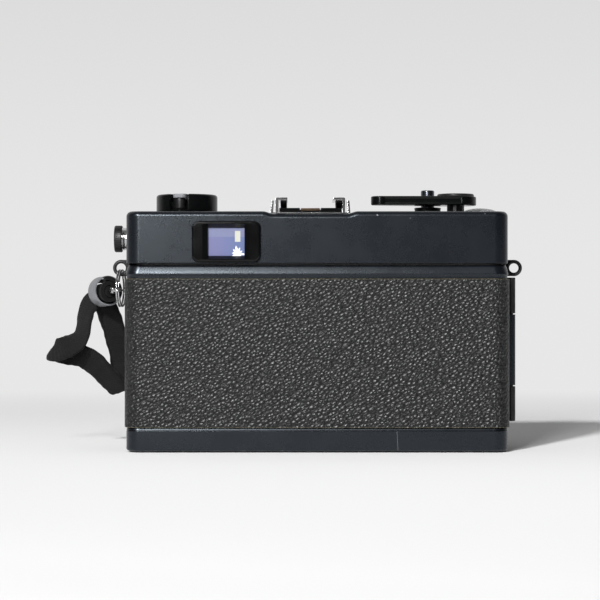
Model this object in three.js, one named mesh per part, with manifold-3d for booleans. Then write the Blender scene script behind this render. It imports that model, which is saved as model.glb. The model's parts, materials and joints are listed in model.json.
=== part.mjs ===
// A compact 35 mm rangefinder camera with a fixed lens, a hinged back and a wrist strap.
// Millimetres. +X runs to the right of someone holding it, +Y out through the lens, +Z up.
// The origin is in the flat base, midway along the body and midway through its metal depth.
import * as THREE from 'three';
import { mergeVertices } from 'three/addons/utils/BufferGeometryUtils.js';
import Module from 'manifold-3d';

const wasm = await Module();
wasm.setup();

// ---------------------------------------------------------------- sizes

const gap = 0.3; // between faces that don't touch
const run = 0.06; // radial play of a shaft in its bearing
const ringPlay = 0.09; // and of the rings that turn on the lens tube

// Body
const bodyWidth = 113;
const bodyDepth = 31;
const bodyHeight = 70.8; // base to top deck
const endRadius = 6.5; // the four upright corners
const baseHeight = 6.3; // bottom cover
const topHeight = 15.4; // top cover
const sheetWall = 1; // pressed covers and the door
const deckWall = 1.6; // roof of the top cover
const castDeck = 1; // floor and roof of the film chambers
const castWall = 1.5; // front wall of the film chambers
const skin = 0.5; // leather cloth
const skinFoot = 1.05; // bare metal below the cloth
const skinHead = 4.2; // and above it
const cutOver = 1; // how far a cutting solid runs past what it cuts

// Film and its path
const cassetteRadius = 12.75;
const cassettePlay = 0.75;
const latchWall = 3.8; // end wall with the door latch in it
const latchSlotWall = 0.7; // left between the latch slot and the film chamber
const latchBehind = 2.5; // the slot's front, behind the rewind axis
const latchBar = 2; // depth of the bar
const latchHeight = 32; // lower end of the latch bar
const latchTravelRoom = 8; // slot below the bar
const tongueBelow = 4; // the door's tongue, below and above the bar's lower end
const tongueAbove = 2;
const tongueDepth = 2;
const spoolRadius = 7.5;
const spoolRoom = 5.4; // left for the wound film
const spoolWall = 1.6;
const gateWidth = 36;
const gateHeight = 24;
const doorDepth = 8.5; // how far the door reaches round the ends
const railReach = 3.2; // film rails, behind the door's seam
const railMargin = 5.5; // chassis face beyond the gate, each side
const filmGap = 0.4; // rails to pressure plate
const plateThickness = 1;
const plateMargin = 4;
const plateStud = 1;
const plateStudInset = 3; // from the end of the gate
const plateCorner = 2;
const plateExtraHeight = 2; // the plate stands this much more above and below the gate
const springReach = 7; // half length of the cassette's leaf spring
const springHalfHeight = 5;
const springBow = 1.6;
const springSheet = 0.3;
const sprocketTeeth = 8;
const sprocketHalf = 17;
const sprocketWaist = 1.5; // the drum is this much thinner between its rows of teeth
const sprocketBand = 5.5; // full thickness at each end
const waistTaper = 1;
const toothRoot = 0.6; // how deep a tooth stands in the drum
const slotHalf = 17.8; // slots of the spool, each way from the middle of the film
const spoolSlots = 4;
const slotDepth = 3;
const slotWidth = 1.6;
const perforationPitch = 4.75;
const perforationRow = 14.1; // from the middle of the film
const toothHeight = 1.2;
const toothWidth = 1.8;

// Gears, all of one module
const gearModule = 0.6;
const gearWidth = 1.5;
const highGearLift = 1.6; // upper gears, above the casting
const lowGearDrop = 0.7; // lower gears, below its floor
const pressureAngle = 20; // degrees
const addendum = 0.75; // both in modules
const dedendum = 1.05;
const bearingDepth = 1; // shaft ends that sit in the spool and the chamber roofs
const advanceTeeth = 33;
const idlerTeeth = 12;
const sprocketTopTeeth = 12;
const lowGearTeeth = 28; // the pair between sprocket and spool
const flankGap = 0.1;
const journal = 1.5; // bearing ends of the shafts
const idlerPost = 1;
const counterPost = 1.1;

// Lens, turned about its own axis
const lensX = -2;
const flangeRadius = 25.2;
const flangeEnd = 2.8; // all ends are measured from the body's front
const tubeRadius = 19;
const tubeEnd = 22;
const cellRadius = 13;
const cellWall = 2.3;
const cellStart = 6;
const cellEnd = 21.6;
const cellRoom = 0.4; // round the cell where it comes through the filter ring
const speedRingRadius = 24.2;
const speedRingEnd = 8.5;
const focusRingRadius = 23.6;
const focusRingEnd = 16.1;
const apertureRingRadius = 22.8;
const tabWidth = 8; // finger tab of the focus ring
const tabReach = 3;
const tabTurn = 40; // degrees round from the bottom
const filterRadius = 21.6;
const filterEnd = 26.5;
const filterWall = 1;
const nameRing = 1.2; // floor of the filter ring
const frontLensDepth = 4.6;
const rearLensDepth = 2.4;
const frontBulge = 1.2;
const rearBulge = 0.5;
const lensLip = 1.2; // seat of the front glass
const lensSeat = 2; // from the glass to the end of its seat
const lensInset = 0.4; // glass, behind the cell's front
const shutterRadius = 19.3;
const shutterHole = 6.2;
const shutterDepth = 7.2;
const bladeFloor = 2.7; // case behind the blades
const bladePocket = 1.6;
const bladePocketRadius = 17.5;
const bladeThickness = 0.4;
const bladePivot = 12; // from the lens axis
const bladePin = 0.6;
const bladeLap = 0.7;
const bladeCover = 0.8; // how far a closed blade reaches past the hole
const bladeEye = 1; // metal round the pin
const tabInset = 1; // the tab, inside the ends of its ring

// Rewind knob and crank, with the crank folded into the knob
const knobRadius = 9.2;
const knobHeight = 5.5;
const knobChamfer = 0.7;
const shaftRadius = 2;
const crankWidth = 4;
const crankThickness = 1.2;
const crankPin = 0.3;
const handleRadius = 1.65;
const handleLength = 3.2;
const handleStud = 0.5;
const handlePlay = 0.1; // along its stud
const handleInset = 1.9; // its axis, in from the knob's rim
const notchWidth = 5.8;
const notchDepth = 3.6;
const notchBearing = THREE.MathUtils.degToRad(257);
const forkHeight = 3;
const forkHalf = 0.5; // half thickness of the key blade
const linkRise = 1.8; // from the casting to the plate that ties the shaft to the latch bar
const linkThickness = 1;
const linkEye = 2.5; // its metal round the shaft
const shaftCollar = 1; // step of the collar below it
const shaftCollarHeight = 0.9;

// Winding lever, shutter button and frame counter
const leverLift = 2.3; // from the deck to the lever
const leverThickness = 2.7;
const leverHub = 6.2;
const leverReach = 25.7; // pivot to tip
const leverTip = 3;
const leverSweep = 3; // tip, behind the pivot
const leverShaft = 2.6;
const leverCapRadius = 5.55;
const leverCapHeight = 0.8;
const buttonAlong = 8; // from the winding axis, towards the shoe
const buttonAhead = 7.5; // and towards the front
const buttonRadius = 2.05;
const buttonReach = 7.3; // above the deck
const buttonShoulder = 0.8; // stops the button below the deck
const buttonShoulderHeight = 0.6;
const buttonStem = 0.8;
const buttonStemEnd = 3.5; // above the gears
const collarRadius = 4.2;
const collarHeight = 2;
const counterInset = 6.5; // middle of the counter, from the end and from the front
const counterRadius = 5.8;
const counterRise = 1.9;
const counterWall = 0.8;
const counterDial = 4.7;
const counterStem = 0.5;
const dialInset = 0.4; // dial, within the thickness of the deck

// Accessory shoe
const shoeWidth = 20.6;
const shoeLength = 19;
const shoeRear = -13.6;
const shoeRecess = 0.7;
const shoeRecessSide = 2.5; // recess beyond the rails, each side
const shoeRecessFront = 2; // recess in front of the shoe
const shoeOpening = 13.5; // between the lips
const shoeFloor = 1.7; // from the recess to the channel
const channelHeight = 2.3;
const railWall = 0.8;
const railFloor = 0.5; // sheet under the rails
const earReach = 1.6; // spring ears outside the rails
const earGap = 0.8;
const earStart = 2; // from the shoe's rear end
const earEnd = 9;
const earRoot = 0.5; // how far an ear's foot runs under the rail
const contactWidth = 5.6;
const contactStart = 0.3; // from the shoe's rear end
const contactEnd = 11;
const contactSheet = 0.35;
const contactGroove = 0.4;

// Finder
const finderX = -26.8;
const eyeWidth = 20.2;
const eyeHeight = 12.2;
const eyeRadius = 2;
const eyeProud = 1.5;
const eyeGlassWidth = 10.8;
const eyeGlassHeight = 8.4;
const eyeBevel = 1.6;
const eyeBevelHigh = 0.96; // above and below the glass
const eyeNeckSide = 2; // neck of the frame beyond the glass
const eyeNeckHigh = 1;
const eyeNeckReach = 2.5; // from the rear face into the cover
const eyeNeckRoot = 0.5; // and into the frame
const glassThickness = 1;
const glassLap = 0.6; // glass behind the edge of its opening
const finderBlock = 12;
const finderBlockRear = 4; // from the rear face
const finderBlockFront = 10.5; // from the front face
const finderBlockHeight = 11;
const mirrorHalf = 4;
const mirrorSheet = 1.2;
const mirrorHeight = 9;
const mirrorInset = 11.5; // from the front face
const rangeBase = 27.3; // finder window to rangefinder window
const frameLineShare = 0.58; // place of the frame-line window along that base
const windowHeight = 8.4;
const windowHalves = [6, 4, 2.4]; // half widths: finder, frame lines, rangefinder
const windowPanel = 1;
const panelRim = 0.6; // above and below the windows
const panelLeft = 8.5; // beyond the middles of the outer windows
const panelRight = 4.9;
const paneRecess = 0.2;
const paneRim = 0.5; // the panel covers this much of each cut in the cover

// Door hinge
const hingeRadius = 1.25;
const hingePin = 0.6;
const hingeBottom = 8.5;
const hingeTop = 51.3;
const knuckleBottom = 19.2;
const knuckleTop = 40.3;
const hingeStand = 0.2; // knuckle clear of the body's end
const hingeSheet = 0.7;
const hingeReach = 4.5; // leaf along the body's end
const webRoot = 0.4; // knuckle's web, into the door

// Ends and base
const lugRadius = 2.5;
const lugHole = 1.6;
const lugThickness = 1.6;
const lugY = 3;
const lugDrop = 1.1; // below the top cover
const lugStem = 1; // half height of its stem
const lugStemTrim = 0.2; // its top, below that
const lugOverlap = 0.3; // stem into the ring
const socketY = 4;
const socketRise = 1.35; // above the finder's axis
const socketRadius = 3.45;
const socketLength = 2.5;
const socketCapRadius = 4.05;
const socketCapLength = 2.3;
const socketBore = 1.9;
const socketStep = 1; // neck in the cover, thinner than the stem
const tripodX = -14;
const tripodRadius = 3;
const tripodWall = 2;
const tripodFlange = 1.5; // beyond the wall, inside the cover
const tripodFlangeHeight = 1.2;
const batteryX = 10;
const batteryY = 2;
const batteryRadius = 5.8;
const batteryHeight = 5.4;
const batteryCapRadius = 7;
const batteryCapHeight = 1.4;
const coinSlotHalf = 5;
const coinSlotWidth = 1.2;
const coinSlotDepth = 0.7;
const releaseRadius = 2;
const releaseStep = 0.8; // collar inside the cover
const releaseTop = 0.9; // above the cover's sheet
const timerX = 38;
const timerZ = 40;
const timerRadius = 4.4;
const timerReach = 13;
const timerTip = 2.2;
const timerThickness = 2;
const timerSeatDepth = 1.3;
const timerRoot = 0.5;

// Wrist strap
const ringRadius = 5.4; // middle of the wire
const ringWidth = 1.2;
const ringWire = 0.8;
const ferruleRadius = 4.6;
const ferruleLength = 6.2;
const ferruleWall = 0.5;
const rollRear = 0.6; // roll, past the rear of the ferrule
const ferruleSet = 0.4; // ferrule, behind the roll's face
const linkBore = 1; // eye round the ring's wire
const linkWall = 0.7;
const linkHalf = 0.45;
const linkShank = 0.6;
const linkShankRoot = 0.05; // shank into the eye
const strapWidth = 4.6;
const strapThickness = 2.4;
const strapSides = 8;
const strapSteps = 36;

// ---------------------------------------------------------------- places that follow

const halfWidth = bodyWidth / 2;
const halfDepth = bodyDepth / 2;
const castTop = bodyHeight - topHeight;
const deckTop = bodyHeight;
const deckUnder = bodyHeight - deckWall;
const middle = (baseHeight + castTop) / 2; // height of the lens and the film
const doorSeam = -halfDepth + doorDepth;
const doorBottom = baseHeight + gap;
const doorTop = castTop - gap;
const skinBottom = doorBottom + skinFoot;
const skinTop = doorTop - skinHead;
const chamberBottom = baseHeight + castDeck;
const chamberTop = castTop - castDeck;
const filmBack = doorSeam - railReach;
const doorInside = -halfDepth + sheetWall;

const chamberRadius = cassetteRadius + cassettePlay;
const cassetteX = -halfWidth + latchWall + chamberRadius;
const cassetteY = halfDepth - castWall - chamberRadius;
const spoolChamber = spoolRadius + spoolRoom;
const spoolX = halfWidth - spoolWall - spoolChamber;
const spoolY = halfDepth - castWall - spoolChamber;
const sprocketRadius = (sprocketTeeth * perforationPitch) / (2 * Math.PI);
const sprocketRoom = sprocketRadius + toothHeight + gap;
const sprocketY = filmBack + sprocketRadius;
const gearReach = gearModule * lowGearTeeth;
const sprocketX = spoolX - Math.sqrt(gearReach ** 2 - (spoolY - sprocketY) ** 2);
const highGear = castTop + highGearLift;
const lowGear = baseHeight - gearWidth - lowGearDrop;

const leverBottom = deckTop + leverLift;
const leverTop = leverBottom + leverThickness;
const buttonX = spoolX - buttonAlong;
const buttonY = spoolY + buttonAhead;
const counterX = halfWidth - counterInset;
const counterY = halfDepth - counterInset;
const eyeZ = castTop + gap + eyeHeight / 2;
const windowX = finderX + rangeBase;
const socketZ = eyeZ + socketRise;
const hingeX = halfWidth + hingeStand + hingeRadius;
const hingeY = doorSeam - gap / 2;
const lugX = halfWidth + gap + lugRadius;
const lugZ = castTop - lugDrop;
const hingeLeafEnd = doorSeam + hingeReach;
const plateY = filmBack - filmGap - plateThickness;
const plateStuds = [-1, 1].map((side) => lensX + side * (gateWidth / 2 - plateStudInset));
const linkLevel = castTop + linkRise;

// Middle and half width of the finder, frame-line and rangefinder windows.
const windowPlaces = [finderX, finderX + rangeBase * frameLineShare, windowX];
const windows = windowPlaces.map((x, index) => [x, windowHalves[index]]);

// ---------------------------------------------------------------- solids

function solid(geometry) {
  const bare = geometry.clone();
  bare.deleteAttribute('normal');
  bare.deleteAttribute('uv');
  const merged = mergeVertices(bare, 1e-4);
  return new wasm.Manifold(
    new wasm.Mesh({
      numProp: 3,
      vertProperties: merged.attributes.position.array,
      triVerts: new Uint32Array(merged.index.array),
    }),
  );
}

function block(x0, x1, y0, y1, z0, z1) {
  const geometry = new THREE.BoxGeometry(x1 - x0, y1 - y0, z1 - z0);
  return solid(geometry.translate((x0 + x1) / 2, (y0 + y1) / 2, (z0 + z1) / 2));
}

// A shape drawn in X and Y, from z0 up to z1.
function plate(shape, z0, z1, curveSegments = 5) {
  const options = { depth: z1 - z0, bevelEnabled: false, curveSegments };
  return solid(new THREE.ExtrudeGeometry(shape, options).translate(0, 0, z0));
}

// A shape drawn in X and Z, from y0 to y1.
function upright(shape, y0, y1, curveSegments = 5) {
  const options = { depth: y1 - y0, bevelEnabled: false, curveSegments };
  const geometry = new THREE.ExtrudeGeometry(shape, options);
  return solid(geometry.rotateX(Math.PI / 2).translate(0, y1, 0));
}

// A closed profile of [radius, height] points turned about an axis through the origin.
function turned(axis, profile, segments = 32) {
  const points = profile.map(([radius, height]) => new THREE.Vector2(radius, height));
  if (points[0].x > 0) points.push(points[0].clone());
  const geometry = new THREE.LatheGeometry(points, segments);
  if (axis === 'z') geometry.rotateX(Math.PI / 2);
  if (axis === 'x') geometry.rotateZ(-Math.PI / 2);
  return solid(geometry);
}

function rod(axis, radius, from, to, segments = 16) {
  return turned(axis, [[0, from], [radius, from], [radius, to], [0, to]], segments);
}

function ring(axis, inner, outer, from, to, segments = 24) {
  return turned(axis, [[inner, from], [outer, from], [outer, to], [inner, to]], segments);
}

function union(...solids) {
  return solids.reduce((whole, next) => whole.add(next));
}

function polar(radius, bearing) {
  return new THREE.Vector2(radius * Math.cos(bearing), radius * Math.sin(bearing));
}

// The body's plan outline, grown outwards or, below zero, inwards.
function outline(grow = 0) {
  return roundedRectangle(halfWidth + grow, halfDepth + grow, endRadius + grow);
}

function roundedRectangle(halfX, halfY, radius) {
  const x = halfX - radius;
  const y = halfY - radius;
  const shape = new THREE.Shape();
  shape.absarc(x, y, radius, 0, Math.PI / 2);
  shape.absarc(-x, y, radius, Math.PI / 2, Math.PI);
  shape.absarc(-x, -y, radius, Math.PI, Math.PI * 1.5);
  shape.absarc(x, -y, radius, Math.PI * 1.5, Math.PI * 2);
  return shape;
}

// A spur gear with the middle of one tooth on a bearing. Its flanks are straight chords of
// the involute, from root to tip.
function gear(teeth, bearing, z0) {
  const pitchRadius = (gearModule * teeth) / 2;
  const pressure = THREE.MathUtils.degToRad(pressureAngle);
  const baseRadius = pitchRadius * Math.cos(pressure);
  const involute = (angle) => Math.tan(angle) - angle;
  const atPitch = Math.PI / (2 * teeth) - flankGap / (2 * pitchRadius) + involute(pressure);
  const halfTooth = (radius) => atPitch - involute(Math.acos(Math.min(1, baseRadius / radius)));
  const root = pitchRadius - dedendum * gearModule;
  const tip = pitchRadius + addendum * gearModule;
  const points = [];
  for (let tooth = 0; tooth < teeth; tooth++) {
    const centre = bearing + (tooth * 2 * Math.PI) / teeth;
    for (const [radius, side] of [[root, -1], [tip, -1], [tip, 1], [root, 1]]) {
      points.push(polar(radius, centre + side * halfTooth(radius)));
    }
  }
  return plate(new THREE.Shape(points), z0, z0 + gearWidth);
}

// The tooth bearing of a gear that meshes with a driver, across a line of centres.
function meshed(driverTeeth, driverBearing, line, teeth) {
  return line + Math.PI + ((line - driverBearing) * driverTeeth) / teeth + Math.PI / teeth;
}

// ---------------------------------------------------------------- finishes and groups

const finishes = {
  blackPaint: [0x24262b, 0.45, 0.6],
  blackMetal: [0x17181b, 0.4, 0.7],
  casting: [0x2a2b2d, 0.7, 0.5],
  leatherCloth: [0x333437, 0.75, 0],
  blackPlastic: [0x121315, 0.35, 0],
  chrome: [0xd9dadc, 0.15, 1],
  brass: [0xb08c4c, 0.35, 1],
  copper: [0xa0673f, 0.35, 1],
  glass: [0x9aa0cc, 0.05, 0],
  clear: [0xe6e8ea, 0.05, 0],
  mirror: [0xe8e8ea, 0.05, 1],
  greyPlastic: [0x9b9da1, 0.5, 0],
  webbing: [0x1f2022, 0.9, 0],
};
const materials = {};
for (const [name, [color, roughness, metalness]] of Object.entries(finishes)) {
  materials[name] = new THREE.MeshStandardMaterial({ color, roughness, metalness });
}

const camera = new THREE.Group();

function groupAt(x = 0, y = 0, z = 0) {
  const group = new THREE.Group();
  group.position.set(x, y, z);
  camera.add(group);
  return group;
}

function add(group, name, made, finish) {
  const { vertProperties, triVerts } = made.getMesh();
  const geometry = new THREE.BufferGeometry();
  geometry.setAttribute('position', new THREE.BufferAttribute(vertProperties, 3));
  geometry.setIndex(new THREE.BufferAttribute(triVerts, 1));
  geometry.computeVertexNormals();
  const mesh = new THREE.Mesh(geometry, materials[finish]);
  mesh.name = name;
  group.add(mesh);
}

const body = groupAt();
const rewind = groupAt(cassetteX, cassetteY);
const winding = groupAt(spoolX, spoolY);
const sprocket = groupAt(sprocketX, sprocketY);
const lens = groupAt(lensX, halfDepth, middle);

// ---------------------------------------------------------------- gear train places

// The idler meshes with both gears, on the lens side of the line between them.
const toSprocket = new THREE.Vector2(sprocketX - spoolX, sprocketY - spoolY);
const idlerReach = (gearModule * (advanceTeeth + idlerTeeth)) / 2;
const idlerToSprocket = (gearModule * (idlerTeeth + sprocketTopTeeth)) / 2;
const spread = toSprocket.length();
const along = (idlerReach ** 2 - idlerToSprocket ** 2 + spread ** 2) / (2 * spread);
const toIdler = toSprocket.clone().setLength(along);
toIdler.add(new THREE.Vector2(toSprocket.y, -toSprocket.x)
  .setLength(Math.sqrt(idlerReach ** 2 - along ** 2)));
const idlerX = spoolX + toIdler.x;
const idlerY = spoolY + toIdler.y;
const idler = groupAt(idlerX, idlerY);

const advanceLine = toIdler.angle();
const idlerLine = Math.atan2(sprocketY - idlerY, sprocketX - idlerX);
const lowLine = Math.atan2(spoolY - sprocketY, spoolX - sprocketX);
const idlerBearing = meshed(advanceTeeth, advanceLine, advanceLine, idlerTeeth);
const sprocketBearing = meshed(idlerTeeth, idlerBearing, idlerLine, sprocketTopTeeth);
const spoolBearing = meshed(lowGearTeeth, lowLine, lowLine, lowGearTeeth);

// ---------------------------------------------------------------- chassis

const latchSlot = {
  x0: -halfWidth + sheetWall,
  x1: -halfWidth + latchWall - latchSlotWall,
  y1: cassetteY - latchBehind,
};
const barX0 = latchSlot.x0 + gap;
const barX1 = latchSlot.x1 - gap;
const barY1 = latchSlot.y1 - gap;
const barY0 = barY1 - latchBar;

function bored(made, axisX, axisY, radius, z0, z1, segments = 16) {
  return made.subtract(rod('z', radius, z0, z1, segments).translate(axisX, axisY, 0));
}

function makeChassis() {
  const front = block(-halfWidth, halfWidth, doorSeam, halfDepth, baseHeight, castTop);
  let made = plate(outline(), baseHeight, castTop).intersect(front);
  const tray = plate(outline(-sheetWall - gap), baseHeight, castTop);
  made = made.add(tray);
  const behind = block(-halfWidth, halfWidth, -halfDepth, doorSeam, chamberBottom, chamberTop);
  const guide0 = lensX - gateWidth / 2 - railMargin;
  const guide1 = sprocketX - sprocketRoom;
  const guide = block(guide0, guide1, filmBack, doorSeam, chamberBottom, chamberTop);
  made = made.subtract(behind).add(guide);

  const chamber = (x, y, radius, segments) =>
    union(
      rod('z', radius, chamberBottom, chamberTop, segments).translate(x, y, 0),
      block(x - radius, x + radius, -halfDepth, y, chamberBottom, chamberTop),
    );
  made = made.subtract(chamber(cassetteX, cassetteY, chamberRadius, 28));
  made = made.subtract(chamber(spoolX, spoolY, spoolChamber, 28));
  made = made.subtract(chamber(sprocketX, sprocketY, sprocketRoom, 20));

  // Light box, then the bay for the shutter
  const bayFloor = halfDepth - shutterDepth - gap;
  made = made.subtract(
    block(
      lensX - gateWidth / 2, lensX + gateWidth / 2,
      -halfDepth, bayFloor + cutOver,
      middle - gateHeight / 2, middle + gateHeight / 2,
    ),
  );
  const bay = rod('y', shutterRadius + gap, bayFloor, halfDepth + cutOver, 32);
  made = made.subtract(bay.translate(lensX, 0, middle));

  // Bearings
  const roof = [chamberTop - cutOver, castTop + cutOver];
  made = bored(made, cassetteX, cassetteY, shaftRadius + run, ...roof);
  for (const [x, y] of [[spoolX, spoolY], [sprocketX, sprocketY]]) {
    made = bored(made, x, y, journal + run, baseHeight - cutOver, castTop + cutOver);
  }
  const postRoot = castTop - castDeck / 2;
  const post = rod('z', idlerPost, postRoot, highGear + gearWidth).translate(idlerX, idlerY, 0);
  const counterBoss = rod('z', counterPost, postRoot, highGear - gap);
  made = union(made, post, counterBoss.translate(counterX, counterY, 0));
  made = bored(made, counterX, counterY, counterStem + run, postRoot, highGear);

  // Latch slot, battery pocket and the seat of the self-timer
  const slotBottom = latchHeight - latchTravelRoom;
  made = made.subtract(
    block(latchSlot.x0, latchSlot.x1, -halfDepth, latchSlot.y1, slotBottom, castTop + cutOver),
  );
  const pocketTop = batteryCapHeight + batteryHeight + 3 * gap;
  made = bored(made, batteryX, batteryY, batteryRadius + gap, 0, pocketTop, 24);
  const timerSeat = rod('y', journal + run, halfDepth - timerSeatDepth, halfDepth + cutOver);
  return made.subtract(timerSeat.translate(timerX, 0, timerZ));
}
add(body, 'chassis', makeChassis(), 'casting');

// ---------------------------------------------------------------- covers

function makeTopCover() {
  let made = plate(outline(), castTop, deckTop);
  made = made.subtract(plate(outline(-sheetWall), castTop - cutOver, deckUnder));

  // The deck dips under the shoe, out to the rear edge.
  const dip = shoeWidth / 2 + shoeRecessSide;
  const dipRear = -halfDepth - cutOver;
  const dipFront = shoeRear + shoeLength + shoeRecessFront;
  const deck = [deckUnder - cutOver, deckTop + cutOver];
  made = made.subtract(
    block(lensX - dip, lensX + dip, dipRear, dipFront, deckTop - shoeRecess, deckTop + cutOver),
  );
  made = bored(made, cassetteX, cassetteY, shaftRadius + gap, ...deck);
  made = bored(made, spoolX, spoolY, leverShaft + run, ...deck);
  made = bored(made, buttonX, buttonY, buttonRadius + run, ...deck);
  made = bored(made, counterX, counterY, counterDial + gap, ...deck, 24);

  made = made.subtract(eyeNeck(gap, cutOver));
  const wall = [halfDepth - sheetWall - cutOver, halfDepth + cutOver];
  for (const [x, half] of windows) {
    const z0 = eyeZ - windowHeight / 2;
    made = made.subtract(block(x - half, x + half, ...wall, z0, z0 + windowHeight));
  }
  const socketHole = socketRadius - socketStep + gap;
  const end = [-halfWidth - cutOver, -halfWidth + sheetWall + cutOver];
  return made.subtract(rod('x', socketHole, ...end).translate(0, socketY, socketZ));
}

// The part of the eyepiece frame that passes through the cover, or the cut that clears it.
function eyeNeck(grow = 0, longer = 0) {
  const halfX = eyeGlassWidth / 2 + eyeNeckSide + grow;
  const halfZ = eyeGlassHeight / 2 + eyeNeckHigh + grow;
  return block(
    finderX - halfX, finderX + halfX,
    -halfDepth - eyeNeckRoot - longer, -halfDepth + eyeNeckReach + longer,
    eyeZ - halfZ, eyeZ + halfZ,
  );
}

add(body, 'top_cover', makeTopCover(), 'blackPaint');

function makeBottomCover() {
  let made = plate(outline(), 0, baseHeight);
  made = made.subtract(plate(outline(-sheetWall), sheetWall, baseHeight + cutOver));
  const floor = [-cutOver, sheetWall + cutOver];
  made = bored(made, tripodX, 0, tripodRadius + tripodWall + gap, ...floor, 24);
  made = bored(made, batteryX, batteryY, batteryCapRadius + run, ...floor, 32);
  return bored(made, sprocketX, sprocketY, releaseRadius + run, ...floor);
}
add(body, 'bottom_cover', makeBottomCover(), 'blackPaint');

// Cloth round the front and both ends, from the door's seam
function makeFrontLeather() {
  const right = halfWidth + cutOver;
  const front = block(-right, right, doorSeam + gap, halfDepth + cutOver, skinBottom, skinTop);
  const inside = plate(outline(), skinBottom - cutOver, skinTop + cutOver);
  let made = plate(outline(skin), skinBottom, skinTop).subtract(inside).intersect(front);
  const wall = [halfDepth - cutOver, halfDepth + cutOver];
  made = made.subtract(rod('y', tubeRadius + gap, ...wall, 32).translate(lensX, 0, middle));
  made = made.subtract(rod('y', journal + gap, ...wall).translate(timerX, 0, timerZ));
  const leaf = block(halfWidth - cutOver, right, doorSeam, hingeLeafEnd + gap, 0, castTop);
  return made.subtract(leaf);
}
add(body, 'front_leather', makeFrontLeather(), 'leatherCloth');

// ---------------------------------------------------------------- door

function makeDoor() {
  const wide = halfWidth + cutOver;
  const rear = -halfDepth - cutOver;
  const back = block(-wide, wide, rear, doorSeam - gap, doorBottom, doorTop);
  let made = plate(outline(), doorBottom, doorTop).intersect(back);
  made = made.subtract(plate(outline(-sheetWall), doorBottom - cutOver, doorTop + cutOver));

  // Middle knuckle of the hinge and its web
  const knuckle = rod('z', hingeRadius, knuckleBottom, knuckleTop).translate(hingeX, hingeY, 0);
  const webX = [halfWidth - webRoot, hingeX - hingeStand];
  const web = block(...webX, hingeY - hingeRadius, doorSeam - gap, knuckleBottom, knuckleTop);
  made = union(made, knuckle, web);
  made = bored(
    made, hingeX, hingeY, hingePin + run, knuckleBottom - cutOver, knuckleTop + cutOver,
  );

  // Tongue that the latch bar holds, on a foot inside the end wall
  const tongueRear = doorSeam - tongueDepth;
  const tongueZ = [latchHeight - tongueBelow, latchHeight + tongueAbove];
  made = union(
    made,
    block(-halfWidth + sheetWall / 2, barX1, tongueRear, doorSeam - gap, ...tongueZ),
    block(barX0, barX1, tongueRear, barY0 - gap, ...tongueZ),
  );

  // Studs that carry the pressure plate
  for (const x of plateStuds) {
    const stud = rod('y', plateStud, doorInside - sheetWall / 2, plateY + plateThickness - gap);
    made = made.add(stud.translate(x, 0, middle));
  }
  return made;
}
add(body, 'back_door', makeDoor(), 'blackPaint');

function makeDoorLeather() {
  const right = halfWidth + cutOver;
  const rear = -halfDepth - cutOver;
  const back = block(-right, right, rear, doorSeam - 2 * gap, skinBottom, skinTop);
  const inside = plate(outline(), skinBottom - cutOver, skinTop + cutOver);
  const made = plate(outline(skin), skinBottom, skinTop).subtract(inside).intersect(back);
  const hinge = hingeY - hingeRadius - gap;
  return made.subtract(block(halfWidth - cutOver, right, hinge, doorSeam, 0, castTop));
}
add(body, 'door_leather', makeDoorLeather(), 'leatherCloth');

function makePressurePlate() {
  const halfX = gateWidth / 2 + plateMargin;
  const halfZ = gateHeight / 2 + plateMargin + plateExtraHeight;
  const shape = roundedRectangle(halfX, halfZ, plateCorner);
  const plateSolid = upright(shape, plateY, plateY + plateThickness);
  let made = plateSolid.translate(lensX, 0, middle);
  for (const x of plateStuds) {
    const hole = rod('y', plateStud + run, plateY - cutOver, plateY + plateThickness + cutOver);
    made = made.subtract(hole.translate(x, 0, middle));
  }
  return made;
}
add(body, 'pressure_plate', makePressurePlate(), 'blackMetal');

// A bowed leaf that keeps the cassette still
const springShape = new THREE.Shape();
springShape.moveTo(-springReach, 0);
springShape.quadraticCurveTo(0, springBow, springReach, 0);
springShape.lineTo(springReach, springSheet);
springShape.quadraticCurveTo(0, springBow + springSheet, -springReach, springSheet);
const springZ = [middle - springHalfHeight, middle + springHalfHeight];
const cassetteSpring = plate(springShape, ...springZ);
add(rewind, 'cassette_spring', cassetteSpring.translate(0, doorInside - cassetteY, 0), 'chrome');

function makeHingeLeaf() {
  let made = block(
    halfWidth, halfWidth + hingeSheet, doorSeam, hingeLeafEnd, hingeBottom, hingeTop,
  );
  const middleRoom = rod('z', hingeRadius + gap, knuckleBottom - gap, knuckleTop + gap);
  made = made.subtract(middleRoom.translate(hingeX, hingeY, 0));
  const spans = [[hingeBottom, knuckleBottom - gap], [knuckleTop + gap, hingeTop]];
  for (const [z0, z1] of spans) {
    made = made.add(rod('z', hingeRadius, z0, z1).translate(hingeX, hingeY, 0));
  }
  return bored(made, hingeX, hingeY, hingePin + run, hingeBottom - cutOver, hingeTop + cutOver);
}
add(body, 'hinge_leaf', makeHingeLeaf(), 'blackMetal');
const pin = rod('z', hingePin, hingeBottom, hingeTop).translate(hingeX, hingeY, 0);
add(body, 'hinge_pin', pin, 'chrome');

// ---------------------------------------------------------------- rewind knob, crank and latch

const handleReach = knobRadius - handleInset;
const crankLevel = knobHeight - crankThickness / 2; // the crank's pivot, above the deck
const channelFloor = knobHeight - crankThickness - gap;
const crankHalf = crankWidth / 2;

// Pieces of the rewind unit are drawn with the notch along +X, then turned to its bearing.
function addRewind(name, made, finish) {
  const degrees = THREE.MathUtils.radToDeg(notchBearing);
  add(rewind, name, made.rotate([0, 0, degrees]).translate(0, 0, deckTop), finish);
}

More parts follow.
